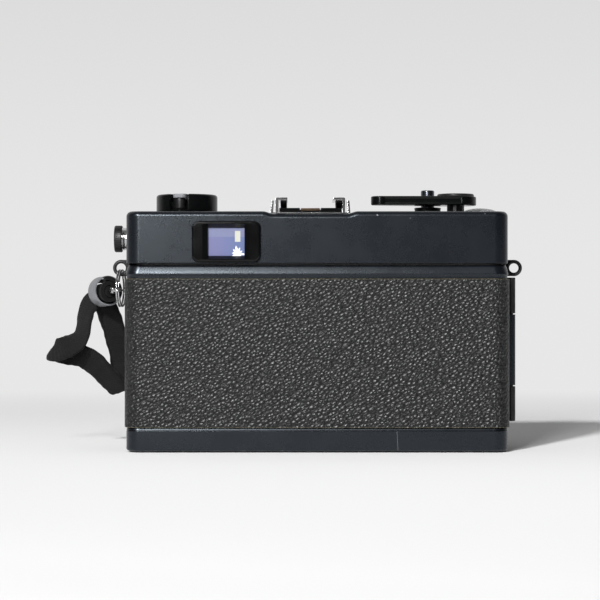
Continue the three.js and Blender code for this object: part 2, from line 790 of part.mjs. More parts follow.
function makeKnob() {
  const profile = [
    [0, gap], [knobRadius, gap], [knobRadius, knobHeight - knobChamfer],
    [knobRadius - knobChamfer, knobHeight], [0, knobHeight],
  ];
  let made = turned('z', profile);
  const channelHalf = crankHalf + gap;
  const past = knobRadius + cutOver;
  const above = knobHeight + cutOver;
  made = made.subtract(block(-past, past, -channelHalf, channelHalf, channelFloor, above));
  const notchHalf = notchWidth / 2;
  made = made.subtract(
    block(knobRadius - notchDepth, past, -notchHalf, notchHalf, 2 * gap, above),
  );
  const across = rod('y', crankPin, -channelHalf - crankPin, channelHalf + crankPin, 12);
  return made.add(across.translate(0, 0, crankLevel));
}
addRewind('rewind_knob', makeKnob(), 'blackPaint');

function makeCrank() {
  const half = crankThickness / 2;
  const end = handleReach + handleRadius;
  const arm = block(0, end, -crankHalf, crankHalf, crankLevel - half, crankLevel + half);
  const barrel = rod('y', half, -crankHalf, crankHalf).translate(0, 0, crankLevel);
  const studEnd = crankLevel - half - handleLength - 2 * handlePlay;
  const stud = rod('z', handleStud, studEnd, crankLevel).translate(handleReach, 0, 0);
  const hole = rod('y', crankPin + run, -crankWidth, crankWidth, 12).translate(0, 0, crankLevel);
  return union(arm, barrel, stud).subtract(hole);
}
addRewind('rewind_crank', makeCrank(), 'greyPlastic');

const handleTop = crankLevel - crankThickness / 2 - handlePlay;
const handle = ring('z', handleStud + run, handleRadius, handleTop - handleLength, handleTop, 16);
addRewind('crank_handle', handle.translate(handleReach, 0, 0), 'blackPlastic');

// Shaft with a collar below the link plate and a key blade for the cassette
function makeRewindShaft() {
  const bladeTop = chamberTop - bearingDepth;
  const bladeZ = [bladeTop - forkHeight, bladeTop + bearingDepth / 2];
  const bladeHalf = shaftRadius - 0.1;
  const collarTop = linkLevel - gap;
  return union(
    rod('z', shaftRadius, bladeTop, deckTop + gap),
    rod('z', shaftRadius + shaftCollar, collarTop - shaftCollarHeight, collarTop),
    block(-bladeHalf, bladeHalf, -forkHalf, forkHalf, ...bladeZ),
  );
}
add(rewind, 'rewind_shaft', makeRewindShaft(), 'brass');

function makeLatch() {
  const linkTop = linkLevel + linkThickness;
  const bar = block(barX0, barX1, barY0, barY1, latchHeight, linkTop);
  const arm = block(barX0, cassetteX, barY0, barY1, linkLevel, linkTop);
  const eye = rod('z', shaftRadius + linkEye, linkLevel, linkTop, 20);
  const joined = union(bar, arm, eye.translate(cassetteX, cassetteY, 0));
  const through = [linkLevel - cutOver, linkTop + cutOver];
  return bored(joined, cassetteX, cassetteY, shaftRadius + run, ...through);
}
add(body, 'door_latch', makeLatch(), 'brass');

// ---------------------------------------------------------------- winding

function makeLever() {
  const shape = new THREE.Shape();
  const tipX = -leverReach + leverTip;
  const swing = Math.atan2(leverSweep, -tipX);
  const lean = Math.asin((leverHub - leverTip) / Math.hypot(tipX, leverSweep));
  const upper = Math.PI / 2 + swing - lean;
  const lower = Math.PI * 1.5 + swing + lean;
  shape.absarc(0, 0, leverHub, lower, upper + Math.PI * 2);
  shape.absarc(tipX, -leverSweep, leverTip, upper, lower);
  return plate(shape, leverBottom, leverTop, 10);
}
add(winding, 'advance_lever', makeLever(), 'blackPaint');
const leverCap = rod('z', leverCapRadius, leverTop, leverTop + leverCapHeight, 24);
add(winding, 'lever_cap', leverCap, 'blackMetal');

const advanceShaft = union(
  rod('z', journal, chamberTop - bearingDepth, highGear + gearWidth / 3),
  gear(advanceTeeth, advanceLine, highGear),
  rod('z', leverShaft, highGear + gearWidth / 3, leverBottom),
);
add(winding, 'advance_shaft', advanceShaft, 'brass');

const idlerBlank = gear(idlerTeeth, idlerBearing, highGear);
const idlerThrough = [highGear - cutOver, highGear + gearWidth + cutOver];
const idlerGear = bored(idlerBlank, 0, 0, idlerPost + run, ...idlerThrough);
add(idler, 'idler_gear', idlerGear, 'brass');

// A waisted drum on its shaft, with a row of teeth round each end and a gear above and below
function makeSprocket() {
  const waist = sprocketRadius - sprocketWaist;
  const low = middle - sprocketHalf;
  const high = middle + sprocketHalf;
  const taper = sprocketBand + waistTaper;
  const drum = turned('z', [
    [0, low], [sprocketRadius, low], [sprocketRadius, low + sprocketBand], [waist, low + taper],
    [waist, high - taper], [sprocketRadius, high - sprocketBand], [sprocketRadius, high], [0, high],
  ], 16);
  let made = union(
    drum,
    rod('z', journal, lowGear, highGear + gearWidth),
    gear(sprocketTopTeeth, sprocketBearing, highGear),
    gear(lowGearTeeth, lowLine, lowGear),
  );
  const half = toothWidth / 2;
  for (const row of [-perforationRow, perforationRow]) {
    const z = middle + row;
    const toothX = [sprocketRadius - toothRoot, sprocketRadius + toothHeight];
    const tooth = block(...toothX, -half, half, z - half / 2, z + half / 2);
    for (let turn = 0; turn < 360; turn += 360 / sprocketTeeth) {
      made = made.add(tooth.rotate([0, 0, turn]));
    }
  }
  return made;
}
add(sprocket, 'film_sprocket', makeSprocket(), 'blackMetal');

function makeSpool() {
  let made = union(
    rod('z', spoolRadius, chamberBottom + gap, chamberTop - gap, 24),
    rod('z', journal, lowGear, chamberBottom + cutOver),
    gear(lowGearTeeth, spoolBearing, lowGear),
  );
  made = bored(made, 0, 0, journal + run, chamberTop - bearingDepth - gap, castTop);
  const slotX = [spoolRadius - slotDepth, spoolRadius + cutOver];
  const half = slotWidth / 2;
  const slot = block(...slotX, -half, half, middle - slotHalf, middle + slotHalf);
  for (let turn = 0; turn < 360; turn += 360 / spoolSlots) {
    made = made.subtract(slot.rotate([0, 0, turn]));
  }
  return made;
}
add(winding, 'take_up_spool', makeSpool(), 'blackPlastic');

const counter = groupAt(counterX, counterY);
const dial = union(
  rod('z', counterDial, deckUnder + dialInset, deckTop - dialInset, 24),
  rod('z', counterStem, castTop + gap, deckUnder + dialInset + 0.2, 12),
);
add(counter, 'counter_dial', dial, 'blackPlastic');

// A clear dome, hollow below
function makeCounterDome() {
  const steps = 3;
  const arc = (radius, rise) => {
    const curve = new THREE.EllipseCurve(0, deckTop, radius, rise, 0, Math.PI / 2);
    return curve.getPoints(steps).map((point, step) => [step === steps ? 0 : point.x, point.y]);
  };
  const outer = arc(counterRadius, counterRise);
  const inner = arc(counterRadius - counterWall, counterRise - counterWall);
  return turned('z', [...inner.reverse(), ...outer], 24);
}
add(counter, 'counter_dome', makeCounterDome(), 'clear');

const release = groupAt(buttonX, buttonY);
const shoulderTop = deckUnder - gap;
const shoulderBottom = shoulderTop - buttonShoulderHeight;
const stemBottom = highGear + gearWidth + buttonStemEnd;
const button = union(
  rod('z', buttonRadius, shoulderBottom, deckTop + buttonReach),
  rod('z', buttonRadius + buttonShoulder, shoulderBottom, shoulderTop),
  rod('z', buttonStem, stemBottom, shoulderTop),
);
add(release, 'shutter_button', button, 'greyPlastic');
const collar = ring('z', buttonRadius + run, collarRadius, deckTop, deckTop + collarHeight);
add(release, 'button_collar', collar, 'blackMetal');

// ---------------------------------------------------------------- lens

const flangeStart = skin + gap;
const lensFlange = turned('y', [
  [cellRadius + run, 0], [tubeRadius, 0], [tubeRadius, flangeStart], [flangeRadius, flangeStart],
  [flangeRadius, flangeEnd], [tubeRadius, flangeEnd], [tubeRadius, tubeEnd],
  [cellRadius + run, tubeEnd],
], 36);
add(lens, 'lens_flange', lensFlange, 'blackMetal');

// Rings that turn on the tube
function lensRing(radius, from, to) {
  return ring('y', tubeRadius + ringPlay, radius, from, to, 36);
}
const speedRing = lensRing(speedRingRadius, flangeEnd + gap, speedRingEnd);
add(lens, 'speed_ring', speedRing, 'blackMetal');
const tabY = [speedRingEnd + gap + tabInset, focusRingEnd - tabInset];
const tabZ = [-focusRingRadius - tabReach, -focusRingRadius + 1];
const focusTab = block(-tabWidth / 2, tabWidth / 2, ...tabY, ...tabZ);
const focusRing = lensRing(focusRingRadius, speedRingEnd + gap, focusRingEnd);
add(lens, 'focus_ring', focusRing.add(focusTab.rotate([0, tabTurn, 0])), 'blackMetal');
const apertureRing = lensRing(apertureRingRadius, focusRingEnd + gap, tubeEnd - gap);
add(lens, 'aperture_ring', apertureRing, 'blackMetal');

const filterRing = turned('y', [
  [cellRadius + cellRoom, tubeEnd], [filterRadius, tubeEnd], [filterRadius, filterEnd],
  [filterRadius - filterWall, filterEnd], [filterRadius - filterWall, tubeEnd + nameRing],
  [cellRadius + cellRoom, tubeEnd + nameRing],
], 36);
add(lens, 'filter_ring', filterRing, 'blackMetal');

const cellBore = cellRadius - cellWall;
const seat = cellEnd - frontLensDepth - lensSeat;
const cell = turned('y', [
  [cellBore - lensLip, cellStart], [cellRadius, cellStart], [cellRadius, cellEnd],
  [cellBore, cellEnd], [cellBore, seat], [cellBore - lensLip, seat],
]);
add(lens, 'lens_cell', cell, 'blackMetal');

// A glass with domed faces
function glassElement(radius, from, to, bulge) {
  const profile = [];
  const steps = 2;
  for (let step = 0; step <= steps; step++) {
    const part = step / steps;
    profile.push([radius * part, from + bulge * part ** 2]);
  }
  for (let step = steps; step >= 0; step--) {
    const part = step / steps;
    profile.push([radius * part, to - bulge * part ** 2]);
  }
  return turned('y', profile, 24);
}
const lensFront = cellEnd - lensInset;
const frontLens = glassElement(cellBore - gap, lensFront - frontLensDepth, lensFront, frontBulge);
add(lens, 'front_lens', frontLens, 'glass');

function makeShutterCase() {
  const pocket0 = -shutterDepth + bladeFloor;
  let made = turned('y', [
    [shutterHole, -shutterDepth], [shutterRadius, -shutterDepth], [shutterRadius, 0],
    [shutterHole, 0], [shutterHole, pocket0 + bladePocket],
    [bladePocketRadius, pocket0 + bladePocket], [bladePocketRadius, pocket0], [shutterHole, pocket0],
  ]);
  for (const side of [-1, 1]) {
    const postRoot = bladeFloor / 5;
    const bladePost = rod(
      'y', bladePin, pocket0 - postRoot, pocket0 + bladePocket + postRoot, 12,
    );
    made = made.add(bladePost.translate(0, 0, side * bladePivot));
  }
  return made;
}
add(lens, 'shutter_case', makeShutterCase(), 'blackMetal');
const rearStart = -shutterDepth + 0.1;
const rearLens = glassElement(shutterHole - gap, rearStart, rearStart + rearLensDepth, rearBulge);
add(lens, 'rear_lens', rearLens, 'glass');

// Each blade hangs from one post and covers half of the hole, with a lap past the middle.
function makeBlade(level) {
  const reach = shutterHole + bladeCover;
  const hub = bladePin + bladeEye;
  const shape = new THREE.Shape();
  shape.absarc(0, bladePivot, hub, 0, Math.PI);
  shape.absarc(0, 0, reach, Math.PI * 0.82, Math.PI * 1.5);
  shape.lineTo(bladeLap, -reach);
  const flat = upright(shape, level, level + bladeThickness, 8);
  const hole = rod('y', bladePin + run, level - cutOver, level + cutOver);
  return flat.subtract(hole.translate(0, 0, bladePivot));
}
const bladeRoom = (bladePocket - 2 * bladeThickness) / 3;
const firstBlade = -shutterDepth + bladeFloor + bladeRoom;
add(lens, 'shutter_blade_upper', makeBlade(firstBlade), 'blackMetal');
const lowerBlade = makeBlade(firstBlade + bladeThickness + bladeRoom).rotate([0, 180, 0]);
add(lens, 'shutter_blade_lower', lowerBlade, 'blackMetal');

// ---------------------------------------------------------------- finder

function makeEyepieceFrame() {
  const outer = roundedRectangle(eyeWidth / 2, eyeHeight / 2, eyeRadius);
  const face = upright(outer, -halfDepth - eyeProud, -halfDepth).translate(finderX, 0, eyeZ);
  let made = face.add(eyeNeck());
  const through = (grow, y0) => {
    const halfX = eyeGlassWidth / 2 + grow;
    const halfZ = eyeGlassHeight / 2 + grow;
    return block(finderX - halfX, finderX + halfX, y0, halfDepth, eyeZ - halfZ, eyeZ + halfZ);
  };
  made = made.subtract(through(0, -halfDepth - eyeProud - cutOver));
  made = made.subtract(through(glassLap, -halfDepth + gap));

  // Inner faces slope in to the glass.
  const outerWidth = eyeGlassWidth + 2 * eyeBevel;
  const outerHeight = eyeGlassHeight + 2 * eyeBevelHigh;
  const slope = new THREE.BoxGeometry(eyeGlassWidth, eyeProud, eyeGlassHeight);
  const corners = slope.attributes.position;
  for (let corner = 0; corner < corners.count; corner++) {
    if (corners.getY(corner) > 0) continue;
    corners.setX(corner, (Math.sign(corners.getX(corner)) * outerWidth) / 2);
    corners.setZ(corner, (Math.sign(corners.getZ(corner)) * outerHeight) / 2);
  }
  slope.translate(finderX, -halfDepth - eyeProud / 2, eyeZ);
  return made.subtract(solid(slope));
}
add(body, 'eyepiece_frame', makeEyepieceFrame(), 'blackPlastic');

const glassHalfX = eyeGlassWidth / 2 + glassLap - gap;
const glassHalfZ = eyeGlassHeight / 2 + glassLap - gap;
const eyeGlassY = -halfDepth + 2 * gap;
const eyepieceGlass = block(
  finderX - glassHalfX, finderX + glassHalfX, eyeGlassY, eyeGlassY + glassThickness,
  eyeZ - glassHalfZ, eyeZ + glassHalfZ,
);
add(body, 'eyepiece_glass', eyepieceGlass, 'glass');

const opticsFloor = castTop + gap;
const prism = block(
  finderX - finderBlock / 2, finderX + finderBlock / 2,
  -halfDepth + finderBlockRear, halfDepth - finderBlockFront,
  opticsFloor, opticsFloor + finderBlockHeight,
);
add(body, 'finder_prism', prism, 'clear');
const mirrorSheetHalf = mirrorSheet / 2;
const mirror = block(
  -mirrorHalf, mirrorHalf, -mirrorSheetHalf, mirrorSheetHalf, opticsFloor, opticsFloor + mirrorHeight,
).rotate([0, 0, 45]);
add(body, 'range_mirror', mirror.translate(windowX, halfDepth - mirrorInset, 0), 'mirror');

const paneHalf = windowHeight / 2 - paneRim; // half height of the openings in the panel

function makeWindowPanel() {
  const x0 = finderX - panelLeft;
  const x1 = windowX + panelRight;
  const panelHalf = windowHeight / 2 + panelRim;
  let made = block(x0, x1, halfDepth, halfDepth + windowPanel, eyeZ - panelHalf, eyeZ + panelHalf);
  const cutY = [halfDepth - cutOver, halfDepth + windowPanel + cutOver];
  for (const [x, half] of windows) {
    made = made.subtract(block(x - half, x + half, ...cutY, eyeZ - paneHalf, eyeZ + paneHalf));
  }
  return made;
}
add(body, 'window_panel', makeWindowPanel(), 'blackPlastic');

const panes = [['finder_window', 'glass'], ['frame_line_window', 'clear'], ['range_window', 'glass']];
panes.forEach(([name, finish], index) => {
  const [x, half] = windows[index];
  const reach = half - gap;
  const high = paneHalf - gap;
  const paneFront = halfDepth + windowPanel - paneRecess;
  const pane = block(x - reach, x + reach, halfDepth, paneFront, eyeZ - high, eyeZ + high);
  add(body, name, pane, finish);
});

// ---------------------------------------------------------------- shoe

const shoe = groupAt(lensX, 0, deckTop - shoeRecess);
const shoeHalf = shoeWidth / 2;
const shoeFront = shoeRear + shoeLength;
const channelTop = shoeFloor + channelHeight;

function makeShoeRails() {
  let made = block(-shoeHalf, shoeHalf, shoeRear, shoeFront, 0, railFloor);
  const earY = [shoeRear + earStart, shoeRear + earEnd];
  for (const side of [-1, 1]) {
    const span = (from, to) => [side * from, side * to].sort((a, b) => a - b);
    const wall = span(shoeHalf - railWall, shoeHalf);
    const lip = span(shoeOpening / 2, shoeHalf);
    const ear = span(shoeHalf + earGap, shoeHalf + earReach);
    const foot = span(shoeHalf - earRoot, shoeHalf + earReach);
    made = union(
      made,
      block(...wall, shoeRear, shoeFront, 0, channelTop + railWall),
      block(...lip, shoeRear, shoeFront, channelTop, channelTop + railWall),
      block(...foot, ...earY, 0, railFloor),
      block(...ear, ...earY, 0, channelTop),
    );
  }
  return made;
}
add(shoe, 'shoe_rails', makeShoeRails(), 'chrome');

// The floor, with a groove that the contact lies in
const baseHalf = shoeHalf - railWall - gap;
const contactHalf = contactWidth / 2;
const grooveFloor = shoeFloor - contactGroove;
const groove = block(
  -contactHalf - gap, contactHalf + gap, shoeRear - cutOver, shoeRear + contactEnd + gap,
  grooveFloor, shoeFloor + cutOver,
);
const shoeBase = block(-baseHalf, baseHalf, shoeRear, shoeFront, railFloor, shoeFloor);
add(shoe, 'shoe_base', shoeBase.subtract(groove), 'blackPlastic');
const shoeContact = block(
  -contactHalf, contactHalf, shoeRear + contactStart, shoeRear + contactEnd,
  grooveFloor, grooveFloor + contactSheet,
);
add(shoe, 'shoe_contact', shoeContact, 'copper');

// ---------------------------------------------------------------- ends, front and base

function makeLug(side) {
  const thick = [lugY - lugThickness / 2, lugY + lugThickness / 2];
  const eye = ring('y', lugHole, lugRadius, ...thick, 20);
  const stemEnd = lugX - lugHole - lugOverlap;
  const stemX = [side * halfWidth, side * stemEnd].sort((a, b) => a - b);
  const stem = block(...stemX, ...thick, lugZ - lugStem, lugZ + lugStem - lugStemTrim);
  return eye.translate(side * lugX, 0, lugZ).add(stem);
}
add(body, 'strap_lug_left', makeLug(-1), 'blackMetal');
add(body, 'strap_lug_right', makeLug(1), 'blackMetal');

// Flash socket: a stem with a rimmed cap outside and a neck through the cover
const socketEnd = socketLength + socketCapLength;
const socketNeck = socketRadius - socketStep;
const flashSocket = turned('x', [
  [0, -sheetWall - socketStep], [socketNeck, -sheetWall - socketStep], [socketNeck, 0],
  [socketRadius, 0], [socketRadius, socketLength], [socketCapRadius, socketLength],
  [socketCapRadius, socketEnd], [socketBore, socketEnd], [socketBore, socketLength],
  [0, socketLength],
], 20);
const leftEnd = groupAt(-halfWidth, socketY, socketZ);
add(leftEnd, 'flash_socket', flashSocket.rotate([0, 0, 180]), 'blackMetal');

const tripodOuter = tripodRadius + tripodWall;
const flangeLow = sheetWall + gap;
const flangeHigh = flangeLow + tripodFlangeHeight;
const tripodSocket = turned('z', [
  [tripodRadius, 0], [tripodOuter, 0], [tripodOuter, flangeLow],
  [tripodOuter + tripodFlange, flangeLow], [tripodOuter + tripodFlange, flangeHigh],
  [tripodOuter, flangeHigh], [tripodOuter, baseHeight - gap], [tripodRadius, baseHeight - gap],
], 20);
add(body, 'tripod_socket', tripodSocket.translate(tripodX, 0, 0), 'chrome');

const powerPack = groupAt(batteryX, batteryY);
const capTop = gap + batteryCapHeight;
const coinHalf = coinSlotWidth / 2;
const coinSlot = block(-coinSlotHalf, coinSlotHalf, -coinHalf, coinHalf, 0, gap + coinSlotDepth);
const batteryCap = rod('z', batteryCapRadius, gap, capTop, 32).subtract(coinSlot);
add(powerPack, 'battery_cap', batteryCap, 'blackMetal');
const battery = rod('z', batteryRadius, capTop + gap, capTop + gap + batteryHeight, 20);
add(powerPack, 'battery', battery, 'chrome');

const releaseEnd = sheetWall + releaseTop;
const releaseButton = union(
  rod('z', releaseRadius, gap, releaseEnd),
  rod('z', releaseRadius + releaseStep, sheetWall + gap, releaseEnd),
);
add(sprocket, 'rewind_release', releaseButton, 'chrome');

function makeTimerLever() {
  const back = halfDepth + skin + gap;
  const shape = new THREE.Shape();
  shape.absarc(0, 0, timerRadius, Math.PI * 1.75, Math.PI * 3.25);
  shape.absarc(0, timerTip - timerReach, timerTip, Math.PI, Math.PI * 2);
  const arm = upright(shape, back, back + timerThickness, 8);
  return arm.add(rod('y', journal, halfDepth - timerSeatDepth + gap, back + timerRoot));
}
const timer = groupAt(timerX, 0, timerZ);
add(timer, 'self_timer_lever', makeTimerLever(), 'blackMetal');

// ---------------------------------------------------------------- wrist strap

// The ring hangs edge-on in the lug, its wire a little below the middle of the hole.
const wireLow = 0.7;
const ringZ = lugZ - wireLow - ringRadius;
const splitRing = ring(
  'x', ringRadius - ringWire / 2, ringRadius + ringWire / 2, -ringWidth / 2, ringWidth / 2,
);
add(groupAt(-lugX, lugY, ringZ), 'split_ring', splitRing, 'chrome');

// The rolled end of the strap faces out of its ferrule, past the ring.
const faceOffset = new THREE.Vector3(-3.2, -1.4, -0.7); // from the ring's middle
const faceDirection = new THREE.Vector3(0.47, -0.88, 0.06).normalize();
const face = new THREE.Vector3(-lugX, lugY, ringZ).add(faceOffset);
const headTurn = new THREE.Quaternion()
  .setFromUnitVectors(new THREE.Vector3(0, 0, 1), faceDirection);
const head = groupAt(face.x, face.y, face.z);
head.quaternion.copy(headTurn);
const rollRadius = ferruleRadius - ferruleWall - gap;
const roll = rod('z', rollRadius, -ferruleLength - rollRear, 0, 20);
add(head, 'strap_roll', roll, 'webbing');
const ferruleZ = [-ferruleLength - ferruleSet, -ferruleSet];
const ferrule = ring('z', ferruleRadius - ferruleWall, ferruleRadius, ...ferruleZ, 20);
add(head, 'strap_ferrule', ferrule, 'greyPlastic');

// A small eye round the ring's wire, with a shank that ends at the roll
function makeStrapLink() {
  const wireY = lugY - ringRadius;
  const eye = ring('z', linkBore, linkBore + linkWall, -linkHalf, linkHalf, 16);
  const inEye = linkBore - linkShankRoot;
  const start = new THREE.Vector3(-lugX - linkBore, wireY + inEye, face.z);
  const end = face.clone().addScaledVector(faceDirection, gap);
  const span = end.clone().sub(start);
  const shank = new THREE.CylinderGeometry(linkShank, linkShank, span.length(), 12);
  const turn = new THREE.Quaternion()
    .setFromUnitVectors(new THREE.Vector3(0, 1, 0), span.clone().normalize());
  shank.applyQuaternion(turn).translate(...start.clone().add(end).multiplyScalar(0.5).toArray());
  return eye.translate(-lugX, wireY, face.z).add(solid(shank));
}
add(body, 'strap_link', makeStrapLink(), 'chrome');

const strapRoute = [
  [-66.8, 9.2, 46.1], [-69.3, 10.2, 43.9], [-71, 9.6, 40.6], [-71.7, 8, 37], [-72.4, 5.8, 33.8],
  [-75.2, 3.2, 31], [-78.8, 2.4, 29.2], [-79.4, 4.4, 27.3], [-76.2, 6.4, 26.8], [-71.2, 8.8, 25.2],
  [-66.8, 12, 22.6], [-63.4, 15.4, 19.6], [-60.8, 18, 18.8], [-59.8, 18.6, 21.6], [-60.4, 16.4, 29],
  [-62.2, 13.2, 35.6], [-64.2, 10.8, 40.8], [-65.7, 9.9, 43.6],
].map((point) => new THREE.Vector3(...point));

function makeStrap() {
  const corners = [];
  for (let side = 0; side < strapSides; side++) {
    const angle = ((side + 0.5) * 2 * Math.PI) / strapSides;
    const across = (Math.cos(angle) * strapThickness) / 2;
    corners.push(new THREE.Vector2(across, (Math.sin(angle) * strapWidth) / 2));
  }
  const extrudePath = new THREE.CatmullRomCurve3(strapRoute);
  const options = { steps: strapSteps, extrudePath };
  return solid(new THREE.ExtrudeGeometry(new THREE.Shape(corners), options));
}
add(body, 'wrist_strap', makeStrap(), 'webbing');

export default camera;
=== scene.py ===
import json
import math

import bmesh
import bpy
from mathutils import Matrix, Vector

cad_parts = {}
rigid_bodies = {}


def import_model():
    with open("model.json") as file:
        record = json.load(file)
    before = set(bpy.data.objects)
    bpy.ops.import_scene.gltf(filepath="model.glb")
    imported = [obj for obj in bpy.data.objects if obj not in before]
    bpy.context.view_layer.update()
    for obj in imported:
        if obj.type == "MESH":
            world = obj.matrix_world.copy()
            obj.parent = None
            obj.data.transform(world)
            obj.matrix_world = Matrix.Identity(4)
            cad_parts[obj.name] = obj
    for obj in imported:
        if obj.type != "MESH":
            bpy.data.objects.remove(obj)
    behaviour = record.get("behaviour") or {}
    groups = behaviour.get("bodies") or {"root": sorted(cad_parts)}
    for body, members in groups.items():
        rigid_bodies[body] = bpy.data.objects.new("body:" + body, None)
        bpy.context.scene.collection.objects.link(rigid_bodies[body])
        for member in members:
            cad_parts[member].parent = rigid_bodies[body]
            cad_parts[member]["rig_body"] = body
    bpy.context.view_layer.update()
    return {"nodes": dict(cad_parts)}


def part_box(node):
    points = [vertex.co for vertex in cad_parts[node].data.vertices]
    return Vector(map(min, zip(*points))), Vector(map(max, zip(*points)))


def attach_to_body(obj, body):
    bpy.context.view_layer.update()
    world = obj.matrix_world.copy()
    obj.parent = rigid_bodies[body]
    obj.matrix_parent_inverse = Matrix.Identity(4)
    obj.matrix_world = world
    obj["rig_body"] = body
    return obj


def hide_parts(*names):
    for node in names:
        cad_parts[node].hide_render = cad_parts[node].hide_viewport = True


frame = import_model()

# A compact rangefinder camera. Sizes and places are in millimetres, and the helpers below
# turn them into Blender's metres: +X to the right, +Y out through the lens, +Z up.
mm = 0.001
rightward, forward, upward = (1, 0, 0), (0, 1, 0), (0, 0, 1)
lensAxis = (-2, 30.85)       # x and z of the lens
windingAxis = (42, 1.1)      # x and y of the winding lever
rewindAxis = (-39.2, 0.5)
buttonAxis = (34, 8.6)
counterAxis = (50, 9)
hingeAxis = (57.95, -7.15)
timerAxis = (38, 40)         # x and z of the self-timer lever
socketAxis = (4, 63.15)      # y and z of the flash socket
bodySide, bodyBack = 56.5, 15.5      # half the body's width and half its depth
deck = 70.8                  # height of the top cover's deck

# Which finish each piece of the camera takes
slotNodes = {
    "casting": ["chassis"],
    "enamel": ["top_cover", "bottom_cover", "back_door", "rewind_knob", "advance_lever"],
    "leather_cloth": ["front_leather", "door_leather"],
    "black_steel": ["pressure_plate", "hinge_leaf", "strap_lug_left", "strap_lug_right",
                    "self_timer_lever", "lever_cap"],
    "black_alloy": ["film_sprocket", "button_collar", "lens_flange", "speed_ring", "focus_ring",
                    "aperture_ring", "filter_ring", "lens_cell", "shutter_case",
                    "flash_socket", "battery_cap"],
    "blade_steel": ["shutter_blade_upper", "shutter_blade_lower"],
    "black_plastic": ["crank_handle", "take_up_spool", "counter_dial", "eyepiece_frame",
                      "window_panel", "shoe_base"],
    "chrome": ["cassette_spring", "hinge_pin", "shoe_rails", "tripod_socket", "battery",
               "rewind_release", "split_ring", "strap_link"],
    "brass": ["rewind_shaft", "door_latch", "advance_shaft", "idler_gear"],
    "copper": ["shoe_contact"],
    "coated_glass": ["eyepiece_glass", "front_lens", "rear_lens", "finder_window", "range_window"],
    "clear_window": ["counter_dome", "frame_line_window", "finder_prism"],
    "mirror": ["range_mirror"],
    "grey_plastic": ["rewind_crank", "shutter_button", "strap_ferrule"],
    "webbing": ["strap_roll", "wrist_strap"],
}
slotOf = {node: slot for slot, nodes in slotNodes.items() for node in nodes}
paneNames = {"finder_window": "finderPane", "frame_line_window": "frameLinePane",
             "range_window": "rangePane"}


# Modelling helpers: their sizes are all in millimetres
def metres(point):
    return Vector(point) * mm


def boxOf(node):
    low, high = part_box(node)
    return low / mm, high / mm


def takeHold(piece):
    # nothing else selected, and this piece active
    if bpy.context.object is not None and bpy.context.object.mode == "EDIT":
        bpy.ops.object.mode_set(mode="OBJECT")
    bpy.ops.object.select_all(action="DESELECT")
    if piece is not None:
        piece.select_set(True)
        bpy.context.view_layer.objects.active = piece


def settle(name):
    # the new piece's place and turn go into its mesh
    if bpy.context.object.mode == "EDIT":
        bpy.ops.object.mode_set(mode="OBJECT")
    piece = bpy.context.object
    piece.name = piece.data.name = name
    bpy.ops.object.transform_apply(location=True, rotation=True, scale=True)
    return piece


def putAt(piece, place, turn=(0, 0, 0)):
    # turns a piece about the origin, then moves it to its place
    takeHold(piece)
    piece.location = metres(place)
    piece.rotation_euler = turn
    bpy.ops.object.transform_apply(location=True, rotation=True, scale=True)


def addBlock(name, low, high):
    takeHold(None)
    low, high = metres(low), metres(high)
    bpy.ops.mesh.primitive_cube_add(size=1, location=(low + high) / 2, scale=high - low)
    return settle(name)


def addRod(name, foot, axis, radius, length, sides=48):
    takeHold(None)
    axis = Vector(axis).normalized()
    turn = axis.to_track_quat("Z", "Y").to_euler()
    middle = metres(Vector(foot) + axis * length / 2)
    bpy.ops.mesh.primitive_cylinder_add(
        vertices=sides, radius=radius * mm, depth=length * mm, location=middle, rotation=turn)
    return settle(name)


def drawLine(points):
    # a chain of edges from corner to corner, left open for editing with all selected
    takeHold(None)
    bpy.ops.mesh.primitive_plane_add(size=mm, location=points[0])
    bpy.ops.object.mode_set(mode="EDIT")
    bpy.ops.mesh.select_mode(type="VERT")
    bpy.ops.mesh.select_all(action="SELECT")
    bpy.ops.mesh.merge(type="CENTER")
    for near, far in zip(points, points[1:]):
        bpy.ops.mesh.extrude_region_move(TRANSFORM_OT_translate={"value": far - near})
    bpy.ops.mesh.select_all(action="SELECT")


def addTurned(name, foot, axis, profile, sides=96):
    # profile: (radius, distance along the axis) from corner to corner
    axis = Vector(axis).normalized()
    side = axis.orthogonal().normalized()
    drawLine([metres(Vector(foot) + axis * far + side * radius) for radius, far in profile])
    bpy.ops.mesh.spin(steps=sides, angle=math.tau, center=metres(foot), axis=axis)
    bpy.ops.mesh.select_all(action="SELECT")
    bpy.ops.mesh.remove_doubles(threshold=0.002 * mm)
    bpy.ops.mesh.normals_make_consistent(inside=False)
    return settle(name)


def addRing(name, foot, axis, profile, sides=96):
    # the same, for a profile that closes on itself off the axis
    return addTurned(name, foot, axis, [*profile, profile[0]], sides)


def addPlate(name, outline, depth):
    # a flat outline of corners, drawn out by the vector depth
    points = [metres(point) for point in outline]
    drawLine([*points, points[0]])
    bpy.ops.mesh.remove_doubles(threshold=0.002 * mm)
    bpy.ops.mesh.select_all(action="SELECT")
    bpy.ops.mesh.edge_face_add()
    bpy.ops.mesh.extrude_region_move(TRANSFORM_OT_translate={"value": metres(depth)})
    bpy.ops.mesh.select_all(action="SELECT")
    bpy.ops.mesh.normals_make_consistent(inside=False)
    return settle(name)


def arc(centre, radius, start, end, steps):
    # points on a circle, with the angles in degrees
    turns = [math.radians(start + (end - start) * step / steps) for step in range(steps + 1)]
    return [(centre[0] + radius * math.cos(turn), centre[1] + radius * math.sin(turn))
            for turn in turns]


def oval(centre, wide, high, sides):
    # corners round an oval section
    turns = [math.tau * step / sides for step in range(sides)]
    return [(centre[0] + wide * math.cos(turn), centre[1] + high * math.sin(turn))
            for turn in turns]


